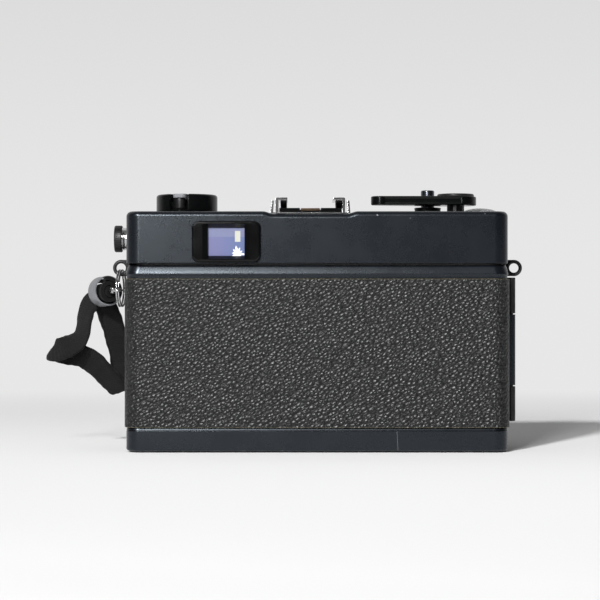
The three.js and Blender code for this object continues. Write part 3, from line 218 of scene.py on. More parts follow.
def pick(piece, kind, test):
    # opens the piece for editing and selects the faces, edges or corners that pass the test
    if piece.mode != "EDIT":
        takeHold(piece)
        bpy.ops.object.mode_set(mode="EDIT")
    bpy.ops.mesh.select_mode(type=kind)
    bpy.ops.mesh.select_all(action="DESELECT")
    mesh = bmesh.from_edit_mesh(piece.data)
    found = 0
    for item in {"FACE": mesh.faces, "EDGE": mesh.edges, "VERT": mesh.verts}[kind]:
        if test(item):
            item.select_set(True)
            found += 1
    mesh.select_flush_mode()
    bmesh.update_edit_mesh(piece.data)
    return found


def letGo():
    # ends the editing that pick began
    bpy.ops.object.mode_set(mode="OBJECT")


def middleOf(item):
    # the middle of a face or an edge
    if isinstance(item, bmesh.types.BMFace):
        return item.calc_center_median() / mm
    if isinstance(item, bmesh.types.BMEdge):
        return (item.verts[0].co + item.verts[1].co) / 2 / mm
    return item.co / mm


def inTurn(face, centre, sides, plane="xy", pattern=2):
    # is the face one of every second, or third, of the sides round an axis?
    spot = middleOf(face)
    across, up = (getattr(spot, letter) for letter in plane)
    turn = math.atan2(up - centre[1], across - centre[0]) % math.tau
    return int(turn / math.tau * sides) % pattern == 0


def runsAlong(edge, axis):
    line = (edge.verts[1].co - edge.verts[0].co).normalized()
    return abs(line.dot(Vector(axis))) > 0.999


def sink(depth):
    # the selected faces are pressed in along their normals
    bpy.ops.mesh.extrude_region_shrink_fatten(TRANSFORM_OT_shrink_fatten={"value": -depth * mm})
    letGo()


def scoreAcross(piece, points, normal):
    # new edges where the planes through those points meet the piece
    takeHold(piece)
    bpy.ops.object.mode_set(mode="EDIT")
    for point in points:
        bpy.ops.mesh.select_all(action="SELECT")
        bpy.ops.mesh.bisect(plane_co=metres(point), plane_no=normal)
    letGo()


def roundEdges(piece, radius, test, segments=6):
    if pick(piece, "EDGE", test):
        bpy.ops.mesh.bevel(offset=radius * mm, segments=segments, affect="EDGES",
                           clamp_overlap=True)
    letGo()


def roundUprights(piece, radius, segments=14, test=None, axis=upward):
    roundEdges(piece, radius, lambda edge: runsAlong(edge, axis)
               and (test is None or test(middleOf(edge))), segments)


def useModifier(piece, kind, settings):
    takeHold(piece)
    bpy.ops.object.modifier_add(type=kind)
    modifier = piece.modifiers[-1]
    for name, value in settings.items():
        setattr(modifier, name, value)
    bpy.ops.object.modifier_apply(modifier=modifier.name)


def combine(piece, other, operation="DIFFERENCE"):
    useModifier(piece, "BOOLEAN", {"operation": operation, "object": other, "solver": "EXACT"})
    bpy.data.objects.remove(other, do_unlink=True)
    return piece


def cutBlock(piece, low, high):
    combine(piece, addBlock("cutter", low, high))


def drill(piece, foot, axis, radius, length, sides=48):
    combine(piece, addRod("drill", foot, axis, radius, length, sides))


def weld(piece, *others):
    for other in others:
        combine(piece, other, "UNION")
    return piece


def soften(piece, radius, segments=3, angle=30):
    # small round on every sharp edge
    useModifier(piece, "BEVEL", {"width": radius * mm, "segments": segments,
                                 "limit_method": "ANGLE", "angle_limit": math.radians(angle)})


def attach(piece, *others):
    # loose details that belong to the same piece
    takeHold(piece)
    for other in others:
        other.select_set(True)
    bpy.ops.object.join()
    return piece


def coat(finish, *pieces):
    for piece in pieces:
        piece.data.materials.append(finish)


def finishPiece(piece, *nodes, finish=None, angle=30):
    takeHold(piece)
    bpy.ops.object.shade_smooth_by_angle(angle=math.radians(angle))
    useModifier(piece, "WEIGHTED_NORMAL", {"keep_sharp": True})
    slot = slotOf[nodes[0]]
    if not piece.data.materials:
        coat(finish or finishes[slot], piece)
    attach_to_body(piece, frame["nodes"][nodes[0]]["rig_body"])
    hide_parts(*nodes)
    return piece


# Shader helpers
class Wire:
    # an output socket that takes part in sums
    def __init__(self, finish, socket):
        self.finish = finish
        self.socket = socket

    def __add__(self, other):
        return self.finish.maths("ADD", self, other)

    def __radd__(self, other):
        return self.finish.maths("ADD", other, self)

    def __sub__(self, other):
        return self.finish.maths("SUBTRACT", self, other)

    def __rsub__(self, other):
        return self.finish.maths("SUBTRACT", other, self)

    def __mul__(self, other):
        return self.finish.maths("MULTIPLY", self, other)

    def __rmul__(self, other):
        return self.finish.maths("MULTIPLY", other, self)

    def __truediv__(self, other):
        return self.finish.maths("DIVIDE", self, other)

    def __abs__(self):
        return self.finish.maths("ABSOLUTE", self)


class Finish:
    def __init__(self, name, home=None):
        self.home = home or bpy.data.materials.new(name)
        self.home.use_nodes = True
        self.tree = self.home.node_tree
        self.tree.nodes.clear()

    def node(self, kind, settings=None, sockets=None, result=0):
        made = self.tree.nodes.new(kind)
        for name, value in (settings or {}).items():
            setattr(made, name, value)
        for name, value in (sockets or {}).items():
            if isinstance(value, Wire):
                self.tree.links.new(value.socket, made.inputs[name])
            else:
                made.inputs[name].default_value = value
        return Wire(self, made.outputs[result] if len(made.outputs) else None)

    def maths(self, operation, first, second=0.0):
        return self.node("ShaderNodeMath", {"operation": operation}, {0: first, 1: second})

    def either(self, first, second):
        # the stronger of two masks
        return self.maths("MAXIMUM", first, second)

    def place(self, size=1.0):
        # the point on the piece, with one unit for each size millimetres
        spot = self.node("ShaderNodeTexCoord", result="Object")
        return self.node("ShaderNodeVectorMath", {"operation": "SCALE"},
                         {0: spot, "Scale": 1 / (mm * size)})

    def split(self, vector):
        # the three parts of a vector
        outputs = self.node("ShaderNodeSeparateXYZ", None, {0: vector}).socket.node.outputs
        return [Wire(self, output) for output in outputs]

    def axes(self):
        return self.split(self.place())

    def rays(self):
        # is it seen by the eye itself, and is it seen in a mirror or through glass?
        outputs = self.node("ShaderNodeLightPath").socket.node.outputs
        direct, mirrored, passing = (Wire(self, outputs["Is " + kind + " Ray"])
                                     for kind in ("Camera", "Glossy", "Transmission"))
        return direct, self.either(mirrored, passing)

    def noise(self, size, detail=2.0, roughness=0.5, spot=None):
        where = spot or self.place(size)
        return self.node("ShaderNodeTexNoise", None,
                         {"Vector": where, "Scale": 1.0, "Detail": detail,
                          "Roughness": roughness})

    def step(self, value, low, high):
        # eases from nothing at low to one at high
        return self.node("ShaderNodeMapRange", {"interpolation_type": "SMOOTHSTEP"},
                         {0: value, 1: low, 2: high, 3: 0.0, 4: 1.0})

    def blend(self, share, first, second):
        return self.node("ShaderNodeMix", {"data_type": "RGBA"},
                         {0: share, 6: first, 7: second}, 2)

    def bump(self, height, depth):
        # depth: how far a height of one stands proud
        return self.node("ShaderNodeBump", None,
                         {"Height": height, "Distance": depth * mm, "Strength": 1.0})

    def near(self, point, radius):
        # one inside a small round spot, and nothing outside it
        off = self.node("ShaderNodeVectorMath", {"operation": "DISTANCE"},
                        {0: self.place(), 1: point}, "Value")
        return self.step(off, radius, radius * 0.7 - 0.01)

    def surface(self, **sockets):
        names = {name.replace("_", " "): value for name, value in sockets.items()}
        shader = self.node("ShaderNodeBsdfPrincipled", None, names)
        self.out(shader)
        return self.home

    def out(self, shader):
        self.node("ShaderNodeOutputMaterial", None, {0: shader})


def grey(level, tint=(0, 0, 0)):
    return (level + tint[0], level + tint[1], level + tint[2], 1)


# Finishes

enamel = {
    "paint": (0.0026, 0.0033, 0.0047, 1), "worn": (0.20, 0.20, 0.21, 1),
    "roughness": 0.25, "peel": 0.8, "peelDepth": 0.002, "gloss": (0.80, 0.90, 1.0, 1),
    # bare spots on the rear edges: their places and radii
    "chips": (((17.7, -15.4, 69.6), 0.30), ((27.4, -15.4, 68.7), 0.22),
              ((-53.4, -15.0, 63.4), 0.20), ((-52.6, -14.9, 58.8), 0.20),
              ((49.4, -15.0, 69.9), 0.42), ((51.5, -14.6, 69.6), 0.35)),
}


def enamelFinish():
    # bluish black stove enamel: fine orange peel, dusty film, bright metal at chipped edges
    look = Finish("enamel")
    x, y, z = look.axes()
    cloud = look.noise(9, 3, 0.6)
    speck = look.noise(0.55, 2, 0.7)
    ragged = look.noise(1.1, 3, 0.7)
    # nearness to the long rear and front edges of the covers, and to the base's rim
    rear = look.step(abs(y), bodyBack - 0.5, bodyBack - 0.15)
    top = look.step(abs(z - (deck - 0.25)), 0.3, 0.1)
    foot = look.step(abs(z - 0.12), 0.3, 0.1)
    rim = rear * look.either(top, foot)
    worn = rim * look.step(ragged, 0.60, 0.66)
    for spot, radius in enamel["chips"]:
        worn = look.either(worn, look.near(spot, radius))
    scratch = look.step(abs(x - 23.8 + z * 0.05), 0.10, 0.03)
    scratch = scratch * look.step(z, 6.2, 5.6) * look.step(y, -15.2, -15.4)
    worn = look.either(worn, scratch * 0.6)
    paint = look.blend(cloud, enamel["paint"], grey(0.0055, (-0.0008, 0, 0.002)))
    colour = look.blend(worn, paint, enamel["worn"])
    peel = look.bump(look.noise(enamel["peel"], 2, 0.5), enamel["peelDepth"])
    return look.surface(
        Base_Color=colour, Metallic=worn * 0.8, Normal=peel, Specular_Tint=enamel["gloss"],
        Roughness=enamel["roughness"] + (cloud - 0.5) * 0.10 + speck * 0.05 + worn * 0.1)


cloth = {"thick": 0.5, "bottom": 6.95, "top": 50.9, "round": 0.22, "under": 0.4}
# the crease colour is painted shade for the grain's low parts
leather = {"pebble": 0.72, "slant": -0.5, "depth": 0.235, "hide": (0.0095, 0.0098, 0.0104, 1),
           "crease": (0.0018, 0.0018, 0.0018, 1), "edge": (0.075, 0.066, 0.040, 1)}


def leatherFinish():
    # embossed cloth: fine uneven pebbles, drawn out on a slant and parted by creases, with painted
    # shade darkening the creases and low grain
    look = Finish("leatherCloth")
    z = look.axes()[2]
    drawn = look.node("ShaderNodeMapping", {"vector_type": "TEXTURE"},
                      {"Vector": look.place(leather["pebble"]), "Scale": (1.45, 1.1, 0.85),
                       "Rotation": (0, leather["slant"], 0)})
    bend = look.node("ShaderNodeTexNoise", None,
                     {"Vector": look.place(1.5), "Scale": 1.0, "Detail": 2.0}, "Color")
    bent = look.node("ShaderNodeMix", {"data_type": "VECTOR"}, {0: 0.24, 4: drawn, 5: bend}, 1)
    pebble = look.node("ShaderNodeTexVoronoi", {"feature": "SMOOTH_F1"},
                       {"Vector": bent, "Scale": 1.0, "Smoothness": 0.3, "Randomness": 1.0},
                       "Distance")
    crease = look.node("ShaderNodeTexVoronoi", {"feature": "DISTANCE_TO_EDGE"},
                       {"Vector": bent, "Scale": 1.0, "Randomness": 1.0}, "Distance")
    fine = look.noise(0.30, 3, 0.6)
    broad = look.noise(2.6, 2, 0.5)
    dome = 1.0 - pebble * 1.5 + broad * 0.5 + fine * 0.20 + look.step(crease, 0.0, 0.14) * 0.35
    grain = look.bump(dome, leather["depth"])
    height = look.step(dome, 0.55, 1.25)
    # painted shade: the grain's low parts and creases take the darker crease colour
    shade = look.blend(height, leather["crease"], leather["hide"])
    # the cut edge shows pale all round the band
    middle, half = (cloth["top"] + cloth["bottom"]) / 2, (cloth["top"] - cloth["bottom"]) / 2
    rim = look.step(abs(z - middle), half - 0.265, half - 0.105)
    colour = look.blend(rim, shade, leather["edge"])
    return look.surface(Base_Color=colour, Normal=grain,
                        Roughness=0.43 - height * 0.12 + fine * 0.06, Specular_IOR_Level=0.42)


def metalFinish(name, colour, rough, metallic=1.0, brush=0.0, depth=0.003):
    # turned or stamped metal with fine handling marks
    look = Finish(name)
    dust = look.noise(4.5, 3, 0.6)
    mark = look.noise(0.6, 3, 0.7)
    if brush:
        stretch = look.node("ShaderNodeMapping", {"vector_type": "POINT"},
                            {"Vector": look.place(brush), "Scale": (1, 1, 9)})
        mark = look.noise(brush, 2, 0.7, stretch)
    dark = tuple(part * 0.72 for part in colour[:3]) + (1,)
    tone = look.blend(look.step(dust, 0.35, 0.7), colour, dark)
    relief = look.bump(mark, depth)
    return look.surface(Base_Color=tone, Metallic=metallic, Normal=relief,
                        Roughness=rough + (dust - 0.5) * 0.12 + mark * 0.06)


def alloyFinish(colour, rough):
    # black anodised alloy, greyer where fingers rub it
    look = Finish("blackAlloy")
    dust = look.noise(5, 3, 0.6)
    grain = look.noise(0.22, 2, 0.6)
    tone = look.blend(look.step(dust, 0.4, 0.75), colour, grey(0.022))
    return look.surface(Base_Color=tone, Metallic=0.35, Normal=look.bump(grain, 0.004),
                        Roughness=rough + (dust - 0.5) * 0.12 + grain * 0.08)


def plasticFinish(name, colour, rough, texture=0.35, depth=0.004, shine=0.5):
    # moulded plastic: faint mould texture, dulled in patches
    look = Finish(name)
    patch = look.noise(6, 2, 0.5)
    grain = look.noise(texture, 2, 0.6)
    pale = tuple(part * 1.5 for part in colour[:3]) + (1,)
    tone = look.blend(look.step(patch, 0.35, 0.8), colour, pale)
    return look.surface(Base_Color=tone, Normal=look.bump(grain, depth),
                        Roughness=rough + (patch - 0.5) * 0.1 + grain * 0.05,
                        Specular_IOR_Level=shine)


def castingFinish():
    # black crackle inside the body
    look = Finish("casting")
    crackle = look.node("ShaderNodeTexVoronoi", {"feature": "DISTANCE_TO_EDGE"},
                        {"Vector": look.place(0.7), "Scale": 1.0}, "Distance")
    cloud = look.noise(7, 3, 0.6)
    tone = look.blend(cloud, grey(0.012), grey(0.028))
    return look.surface(Base_Color=tone, Metallic=0.2, Roughness=0.62 + (cloud - 0.5) * 0.15,
                        Normal=look.bump(look.step(crackle, 0, 0.2), 0.03))


# the ocular's middle, how far from it the glass is left free of painted shade, and the painted
# band's colour
eyeGlass = {"middle": (-26.8, 61.8), "clear": 4.1, "band": (0.180, 0.194, 0.310, 1)}


def coatedGlassFinish():
    # bloomed glass: a painted lilac sheen, paler toward the rim, over a painted dark inside
    look = Finish("coatedGlass")
    edge = look.node("ShaderNodeLayerWeight", None, {"Blend": 0.35}, "Facing")
    cloud = look.noise(6, 2, 0.5)
    tone = look.blend(edge, (0.030, 0.026, 0.060, 1), (0.10, 0.12, 0.25, 1))
    return look.surface(Base_Color=tone, Roughness=0.04 + cloud * 0.03, Coat_Weight=1.0,
                        Coat_Roughness=0.02)


def eyepieceFinish():
    # the bright view through the finder, as the tinted ocular shows it, is painted light in the
    # glass's colour
    look = Finish("ocular")
    x, z = look.axes()[::2]
    across = x - eyeGlass["middle"][0]
    up = z - eyeGlass["middle"][1]
    cloud = look.noise(3, 2, 0.5)
    # painted light: the view, lighter across its top in a painted band
    low = look.blend(look.step(across, -4, 5), (0.162, 0.166, 0.300, 1), (0.124, 0.158, 0.300, 1))
    band = look.step(up, 1.30, 1.50)
    view = look.blend(band, low, eyeGlass["band"])
    # a painted pale upright window of light and, in the corner below it, the painted glint of a
    # lamp
    pane = look.step(abs(across - 3.36), 0.86, 0.74)
    pane = pane * look.step(abs(up - 1.56), 1.66, 1.54)
    view = look.blend(pane, view, (0.50, 0.50, 0.44, 1))
    aside, above = across - 3.33, up + 3.5
    reach = look.maths("SQRT", aside * aside + above * above)
    bearing = look.maths("ARCTAN2", above, aside)
    rays = abs(look.maths("COSINE", bearing * 5.0 + 0.5))
    rays = rays * (look.maths("COSINE", bearing * 3.0 + 1.0) * 0.25 + 0.75)
    # a painted star-shaped glint of a lamp, lit by its own emission
    paintedGlint = look.step(reach, 0.85 + rays * 1.75, 0.45 + rays * 1.1)
    view = look.blend(paintedGlint, view, (1, 1, 1, 1))
    paintedGlintGlow = look.blend(paintedGlint, (0, 0, 0, 1), (0.75, 0.75, 0.8, 1))
    # painted shade darkens the top and bottom of the glass
    paintedShadeMask = look.step(abs(up + 0.1), eyeGlass["clear"], eyeGlass["clear"] + 0.12)
    view = look.blend(paintedShadeMask, view, grey(0.003))
    return look.surface(Base_Color=view, Roughness=0.10 + cloud * 0.05, Coat_Weight=0.5,
                        Coat_Roughness=0.03, Emission_Color=paintedGlintGlow, Emission_Strength=0.6)


def frontGlassFinish():
    # clear bloomed glass, dark inside, with a painted violet sheen in its colour that deepens
    # toward its rim
    look = Finish("frontGlass")
    edge = look.node("ShaderNodeLayerWeight", None, {"Blend": 0.45}, "Facing")
    cloud = look.noise(5, 2, 0.5)
    tone = look.blend(edge, (0.80, 0.76, 0.92, 1), (0.45, 0.38, 0.70, 1))
    return look.surface(Base_Color=tone, Roughness=0.015 + cloud * 0.02,
                        Transmission_Weight=0.85, IOR=1.5, Coat_Weight=0.6,
                        Coat_Roughness=0.01, Coat_Tint=(0.70, 0.62, 1.0, 1))


def clearFinish():
    # clear moulded window
    look = Finish("clearWindow")
    cloud = look.noise(4, 2, 0.5)
    tone = look.blend(cloud, (0.93, 0.95, 0.97, 1), (0.874, 0.893, 0.912, 1))
    return look.surface(Base_Color=tone, Roughness=0.03 + cloud * 0.03,
                        Transmission_Weight=0.92, IOR=1.49)


webbing = {"rib": 0.7, "thread": 0.5, "dark": 0.002, "pale": 0.0075, "depth": 0.14}


def webbingFinish():
    # woven tape: ribs across, a fuzz of loose fibres
    look = Finish("webbing")
    run, across = look.split(look.node("ShaderNodeUVMap"))[:2]
    rib = abs(look.maths("SINE", run * (math.pi / webbing["rib"])))
    row = look.maths("ROUND", run / webbing["rib"])
    thread = abs(look.maths("SINE", across * (math.pi / webbing["thread"]) + row * 1.6))
    fuzz = look.noise(0.30, 3, 0.7)
    dust = look.noise(2.4, 3, 0.6)
    height = rib * 0.35 + thread * 0.30 + fuzz * 0.7
    tone = look.blend(look.step(height + dust * 0.4, 0.5, 1.4), grey(webbing["dark"]),
                      grey(webbing["pale"]))
    return look.surface(Base_Color=tone, Roughness=0.85 + fuzz * 0.1, Specular_IOR_Level=0.3,
                        Normal=look.bump(height, webbing["depth"]), Sheen_Weight=0.05,
                        Sheen_Roughness=0.4)


def shaftFinish():
    # brass inside the body, chemically blackened above the deck
    look = Finish("shaftBrass")
    z = look.axes()[2]
    dust = look.noise(4.5, 3, 0.6)
    bright = look.blend(dust, (0.62, 0.42, 0.16, 1), (0.46, 0.31, 0.12, 1))
    above = look.step(z, deck - 0.6, deck - 0.3)
    tone = look.blend(above, bright, grey(0.012))
    return look.surface(Base_Color=tone, Metallic=1.0 - above * 0.5,
                        Roughness=0.30 + dust * 0.1, Normal=look.bump(dust, 0.01))


finishes = {
    "casting": castingFinish(),
    "enamel": enamelFinish(),
    "leather_cloth": leatherFinish(),
    "black_steel": metalFinish("blackSteel", (0.030, 0.030, 0.032, 1), 0.36, 0.6),
    "black_alloy": alloyFinish((0.011, 0.011, 0.012, 1), 0.36),
    "blade_steel": metalFinish("bladeSteel", (0.10, 0.10, 0.105, 1), 0.38, 0.9, 0.4),
    "black_plastic": plasticFinish("blackPlastic", (0.0026, 0.0027, 0.0029, 1), 0.13, depth=0.002,
                                   shine=0.22),
    "chrome": metalFinish("chrome", (0.72, 0.72, 0.73, 1), 0.13),
    "brass": shaftFinish(),
    "copper": metalFinish("copper", (0.060, 0.040, 0.027, 1), 0.40, 1.0, 0.35, depth=0.008),
    "coated_glass": coatedGlassFinish(),
    "clear_window": clearFinish(),
    "mirror": metalFinish("mirror", (0.88, 0.88, 0.90, 1), 0.03, 1.0, depth=0.0005),
    "grey_plastic": plasticFinish("greyPlastic", (0.145, 0.148, 0.158, 1), 0.38),
    "webbing": webbingFinish(),
}
# harder and glossier than the covers' enamel, on what fingers turn
glossBlack = plasticFinish("glossBlack", (0.0020, 0.0022, 0.0024, 1), 0.17, 0.6, 0.003, shine=0.22)
darkSteel = metalFinish("darkSteel", (0.13, 0.14, 0.165, 1), 0.24)
paintWhite = plasticFinish("fillerWhite", (0.55, 0.55, 0.53, 1), 0.6)

# the pieces inside the body stay as the construction has them
for node, piece in frame["nodes"].items():
    piece.data.materials.clear()
    coat(finishes["black_steel" if node == "door_latch" else slotOf[node]], piece)
print("finishes made")


# The camera looks straight at the back, level with the middle of the body.
viewer = {"place": (-5.06, -615.5, 44.6), "focalLength": 122.3}


def makeCamera():
    bpy.ops.object.camera_add(location=metres(viewer["place"]), rotation=(math.pi / 2, 0, 0))
    eye = bpy.context.object
    eye.name = "studioCamera"
    eye.data.sensor_width = 36
    eye.data.lens = viewer["focalLength"]
    eye.data.clip_start = 0.01
    eye.data.clip_end = 50
    bpy.context.scene.camera = eye


# The wrist strap leaves the rear end of its ferrule and loops back to it. Each point of the
# route has, after its place, the way that one face of the tape looks there.
strap = {
    "route": [
        ((-66.5, 8.2, 46.7), (-0.5, -0.8, 0.4)), ((-68.4, 9.4, 44.9), (-0.6, -0.75, 0.3)),
        ((-70.4, 9.8, 42.5), (-0.7, -0.7, 0)), ((-71.1, 9.2, 39.4), (-0.72, -0.69, 0)),
        ((-71.4, 8.0, 36.3), (-0.7, -0.7, 0)), ((-72.3, 6.2, 33.6), (-0.5, -0.8, 0.3)),
        ((-74.4, 4.4, 31.2), (-0.15, -0.9, 0.4)), ((-77.2, 3.0, 29.9), (-0.1, -0.95, 0.35)),
        ((-79.6, 3.2, 29.3), (-0.5, -0.75, 0.5)), ((-80.5, 5.0, 28.9), (-0.8, 0, 0.6)),
        ((-79.2, 6.9, 28.7), (-0.4, 0.85, 0.3)), ((-75.9, 7.6, 28.6), (0.1, 1, 0.1)),
        ((-72.3, 8.2, 27.8), (0.2, 0.95, 0.2)), ((-68.9, 9.2, 26.0), (0.25, 0.95, 0.2)),
        ((-65.8, 11.0, 22.8), (0.3, 0.93, 0.2)), ((-63.2, 13.4, 19.6), (0.3, 0.85, 0.4)),
        ((-61.2, 16.0, 17.2), (0.1, 0.7, 0.7)), ((-60.0, 18.3, 16.7), (-0.2, 0.2, 0.95)),
        ((-59.9, 19.5, 19.2), (-0.3, -0.9, 0.4)), ((-60.4, 18.9, 24.2), (-0.25, -0.95, -0.1)),
        ((-60.9, 17.6, 28.5), (-0.25, -0.95, -0.2)), ((-62.0, 15.4, 33), (-0.25, -0.93, -0.3)),
        ((-63.0, 13.2, 37), (-0.25, -0.93, -0.3)), ((-64.2, 11.2, 41), (-0.25, -0.9, -0.3)),
        ((-65.3, 9.5, 44.2), (-0.3, -0.9, -0.2)), ((-65.5, 8.0, 46.3), (-0.4, -0.9, -0.2)),
    ],
    "width": 7.4, "thickness": 1.6, "stations": 190, "easing": 16, "length": 89,
    # drawn in where it enters the ferrule, and again where it folds
    "pinch": 0.30, "pinchSpan": 0.06, "foldAt": 0.37, "foldSpan": 0.035, "foldNarrow": 0.24,
}


def alongRoute(points, share):
    # a Catmull-Rom curve through the points, share running from 0 to 1
    last = len(points) - 1
    far = min(share * last, last - 1e-6)
    step = int(far)
    part = far - step
    before, here, there, after = (
        Vector(points[min(max(step + shift, 0), last)]) for shift in (-1, 0, 1, 2))
    return (here * 2 + (there - before) * part
            + (before * 2 - here * 5 + there * 4 - after) * part ** 2
            + (here * 3 - before - there * 3 + after) * part ** 3) / 2


def ease(points, passes):
    # takes the sharpness out of a line, with its two ends left where they are
    for _ in range(passes):
        points = [points[0], *((before + here * 2 + after) / 4 for before, here, after
                               in zip(points, points[1:], points[2:])), points[-1]]
    return points


def makeStrap():
    count = strap["stations"]
    shares = [index / count for index in range(count + 1)]
    places = [place for place, facing in strap["route"]]
    looks = [facing for place, facing in strap["route"]]
    line = ease([alongRoute(places, share) for share in shares], strap["easing"])
    corners = 24
    tape = bmesh.new()
    flat = tape.loops.layers.uv.new("UVMap")
    rings, distances, walked = [], [], 0
    for index, spot in enumerate(line):
        ahead = (line[min(index + 1, count)] - line[max(index - 1, 0)]).normalized()
        facing = alongRoute(looks, shares[index])
        facing = (facing - ahead * facing.dot(ahead)).normalized()
        across = ahead.cross(facing)
        if index:
            walked += (spot - line[index - 1]).length
        distances.append(walked)
        end = min(shares[index], 1 - shares[index])
        pinch = 1 - strap["pinch"] * (1 - min(1, end / strap["pinchSpan"]))
        uneven = 1 + 0.03 * math.sin(walked * 0.8) + 0.015 * math.sin(walked * 2.1 + 1)
        folded = (shares[index] - strap["foldAt"]) / strap["foldSpan"]
        uneven -= strap["foldNarrow"] * math.exp(-folded ** 2)
        loop = []
        for corner in range(corners):
            turn = math.tau * corner / corners
            wide = abs(math.cos(turn)) ** 0.6 * math.copysign(1, math.cos(turn))
            thick = abs(math.sin(turn)) ** 0.6 * math.copysign(1, math.sin(turn))
            # long soft gathers, and edges that cup a little
            gather = 0.10 * math.sin(wide * 9 + 0.25 * walked) + 0.05 * math.sin(walked * 1.7)
            offset = across * wide * strap["width"] / 2 * uneven * pinch
            offset += facing * (thick * strap["thickness"] / 2 + gather - 0.25 * wide * wide)
            loop.append(tape.verts.new((spot + offset) * mm))
        rings.append(loop)
    girth = 2 * (strap["width"] + strap["thickness"])
    for index in range(count):
        for corner in range(corners):
            onward = (corner + 1) % corners
            face = tape.faces.new((rings[index][corner], rings[index][onward],
                                   rings[index + 1][onward], rings[index + 1][corner]))
            for place, (along, side) in zip(face.loops, ((0, 0), (0, 1), (1, 1), (1, 0))):
                place[flat].uv = (distances[index + along], (corner + side) * girth / corners)
    for ring in (rings[0], rings[-1]):
        tape.faces.new(ring)
    bmesh.ops.recalc_face_normals(tape, faces=tape.faces)
    mesh = bpy.data.meshes.new("strapTape")
    tape.to_mesh(mesh)
    tape.free()
    piece = bpy.data.objects.new("strapTape", mesh)
    bpy.context.scene.collection.objects.link(piece)
    finishPiece(piece, "wrist_strap", angle=60)
    return piece, [point * mm for point in line]


makeCamera()
strapTape, strapLine = makeStrap()
print("camera and strap placed")


# Covers and door
body = {
    "cornerRadius": 4.2, "wall": 1, "roof": 1.6, "deckRound": 1.5, "lipRound": 0.25,
    "footRound": 0.7, "footTop": 6.05,
}
dip = {"depth": 0.7, "half": 10.9, "slope": 3.2, "front": 7.4, "steps": 12}


def makeTopCover():
    low, high = boxOf("top_cover")
    piece = addBlock("topCoverShell", low, high)
    roundUprights(piece, body["cornerRadius"])

    # the deck sinks under the shoe, with an easy curve at each side
    fall = []
    for step in range(dip["steps"] + 1):
        part = step / dip["steps"]
        fall.append((dip["half"] + dip["slope"] * (1 - part),
                     high.z - dip["depth"] * (1 - math.cos(math.pi * part)) / 2))
    outline = [(-far, level) for far, level in fall] + [(far, level) for far, level in fall[::-1]]
    over = dip["half"] + dip["slope"]
    outline += [(over, high.z + 2), (-over, high.z + 2)]
    rear = low.y - 2
    hollow = addPlate("dipCutter", [(lensAxis[0] + x, rear, z) for x, z in outline],
                      (0, dip["front"] - rear, 0))
    combine(piece, hollow)

    def deckRim(edge):
        spot = middleOf(edge)
        if runsAlong(edge, upward) or spot.z < high.z - 1.2:
            return False
        ends = [corner.co / mm for corner in edge.verts]
        onRear = all(abs(end.y - low.y) < 0.01 for end in ends)
        onRim = all(end.z > high.z - 0.01 for end in ends) and not onRear
        outside = not any(insideOutline(end, high, 0.05) for end in ends)
        return onRear or (onRim and outside)
    roundEdges(piece, body["deckRound"], deckRim, 6)
    roundEdges(piece, body["lipRound"], lambda edge: middleOf(edge).z < low.z + 0.01, 3)

    inside = addBlock("roomCutter", (low.x + body["wall"], low.y + body["wall"], low.z - 1),
                      (high.x - body["wall"], high.y - body["wall"], high.z - body["roof"]))
    roundUprights(inside, body["cornerRadius"] - body["wall"])
    combine(piece, inside)
    for axis, radius in ((rewindAxis, 2.3), (windingAxis, 2.66), (buttonAxis, 2.11),
                         (counterAxis, 5)):
        drill(piece, (*axis, 67), upward, radius, 6)
    eyeLow, eyeHigh = boxOf("eyepiece_frame")
    cutBlock(piece, (eyeLow.x + 2.4, -17, eyeLow.z + 0.6), (eyeHigh.x - 2.4, -12, eyeHigh.z - 0.6))
    for node in paneNames:
        paneLow, paneHigh = boxOf(node)
        cutBlock(piece, (paneLow.x - 0.3, 13, paneLow.z - 0.8),
                 (paneHigh.x + 0.3, 17, paneHigh.z + 0.8))
    drill(piece, (low.x - 1, *socketAxis), rightward, 2.75, 3)
    finishPiece(piece, "top_cover", angle=25)


def insideOutline(spot, high, margin):
    # is a point inside the body's rounded outline, by more than the margin?
    radius = body["cornerRadius"]
    across = max(abs(spot.x) - (high.x - radius), 0)
    along = max(abs(spot.y) - (high.y - radius), 0)
    if across and along:
        return math.hypot(across, along) < radius - margin
    return abs(spot.x) < high.x - margin and abs(spot.y) < high.y - margin


basePlate = {"tripod": (-14, 0), "battery": (10, 2), "release": (26.04, -4.15),
             "threads": 7, "pitch": 0.75}


def makeBottomCover():
    low, high = boxOf("bottom_cover")
    high.z = body["footTop"]
    piece = addBlock("bottomCoverShell", low, high)
    roundUprights(piece, body["cornerRadius"])
    roundEdges(piece, body["footRound"], lambda edge: middleOf(edge).z < low.z + 0.01, 5)
    roundEdges(piece, 0.2, lambda edge: middleOf(edge).z > high.z - 0.01, 3)
    wall = body["wall"]
    inside = addBlock("roomCutter", (low.x + wall, low.y + wall, wall),
                      (high.x - wall, high.y - wall, high.z + 1))
    roundUprights(inside, body["cornerRadius"] - wall)
    combine(piece, inside)
    for fitting, radius in (("tripod", 5.3), ("battery", 7.06), ("release", 2.06)):
        drill(piece, (*basePlate[fitting], -1), upward, radius, 3, 64)
    finishPiece(piece, "bottom_cover", angle=25)


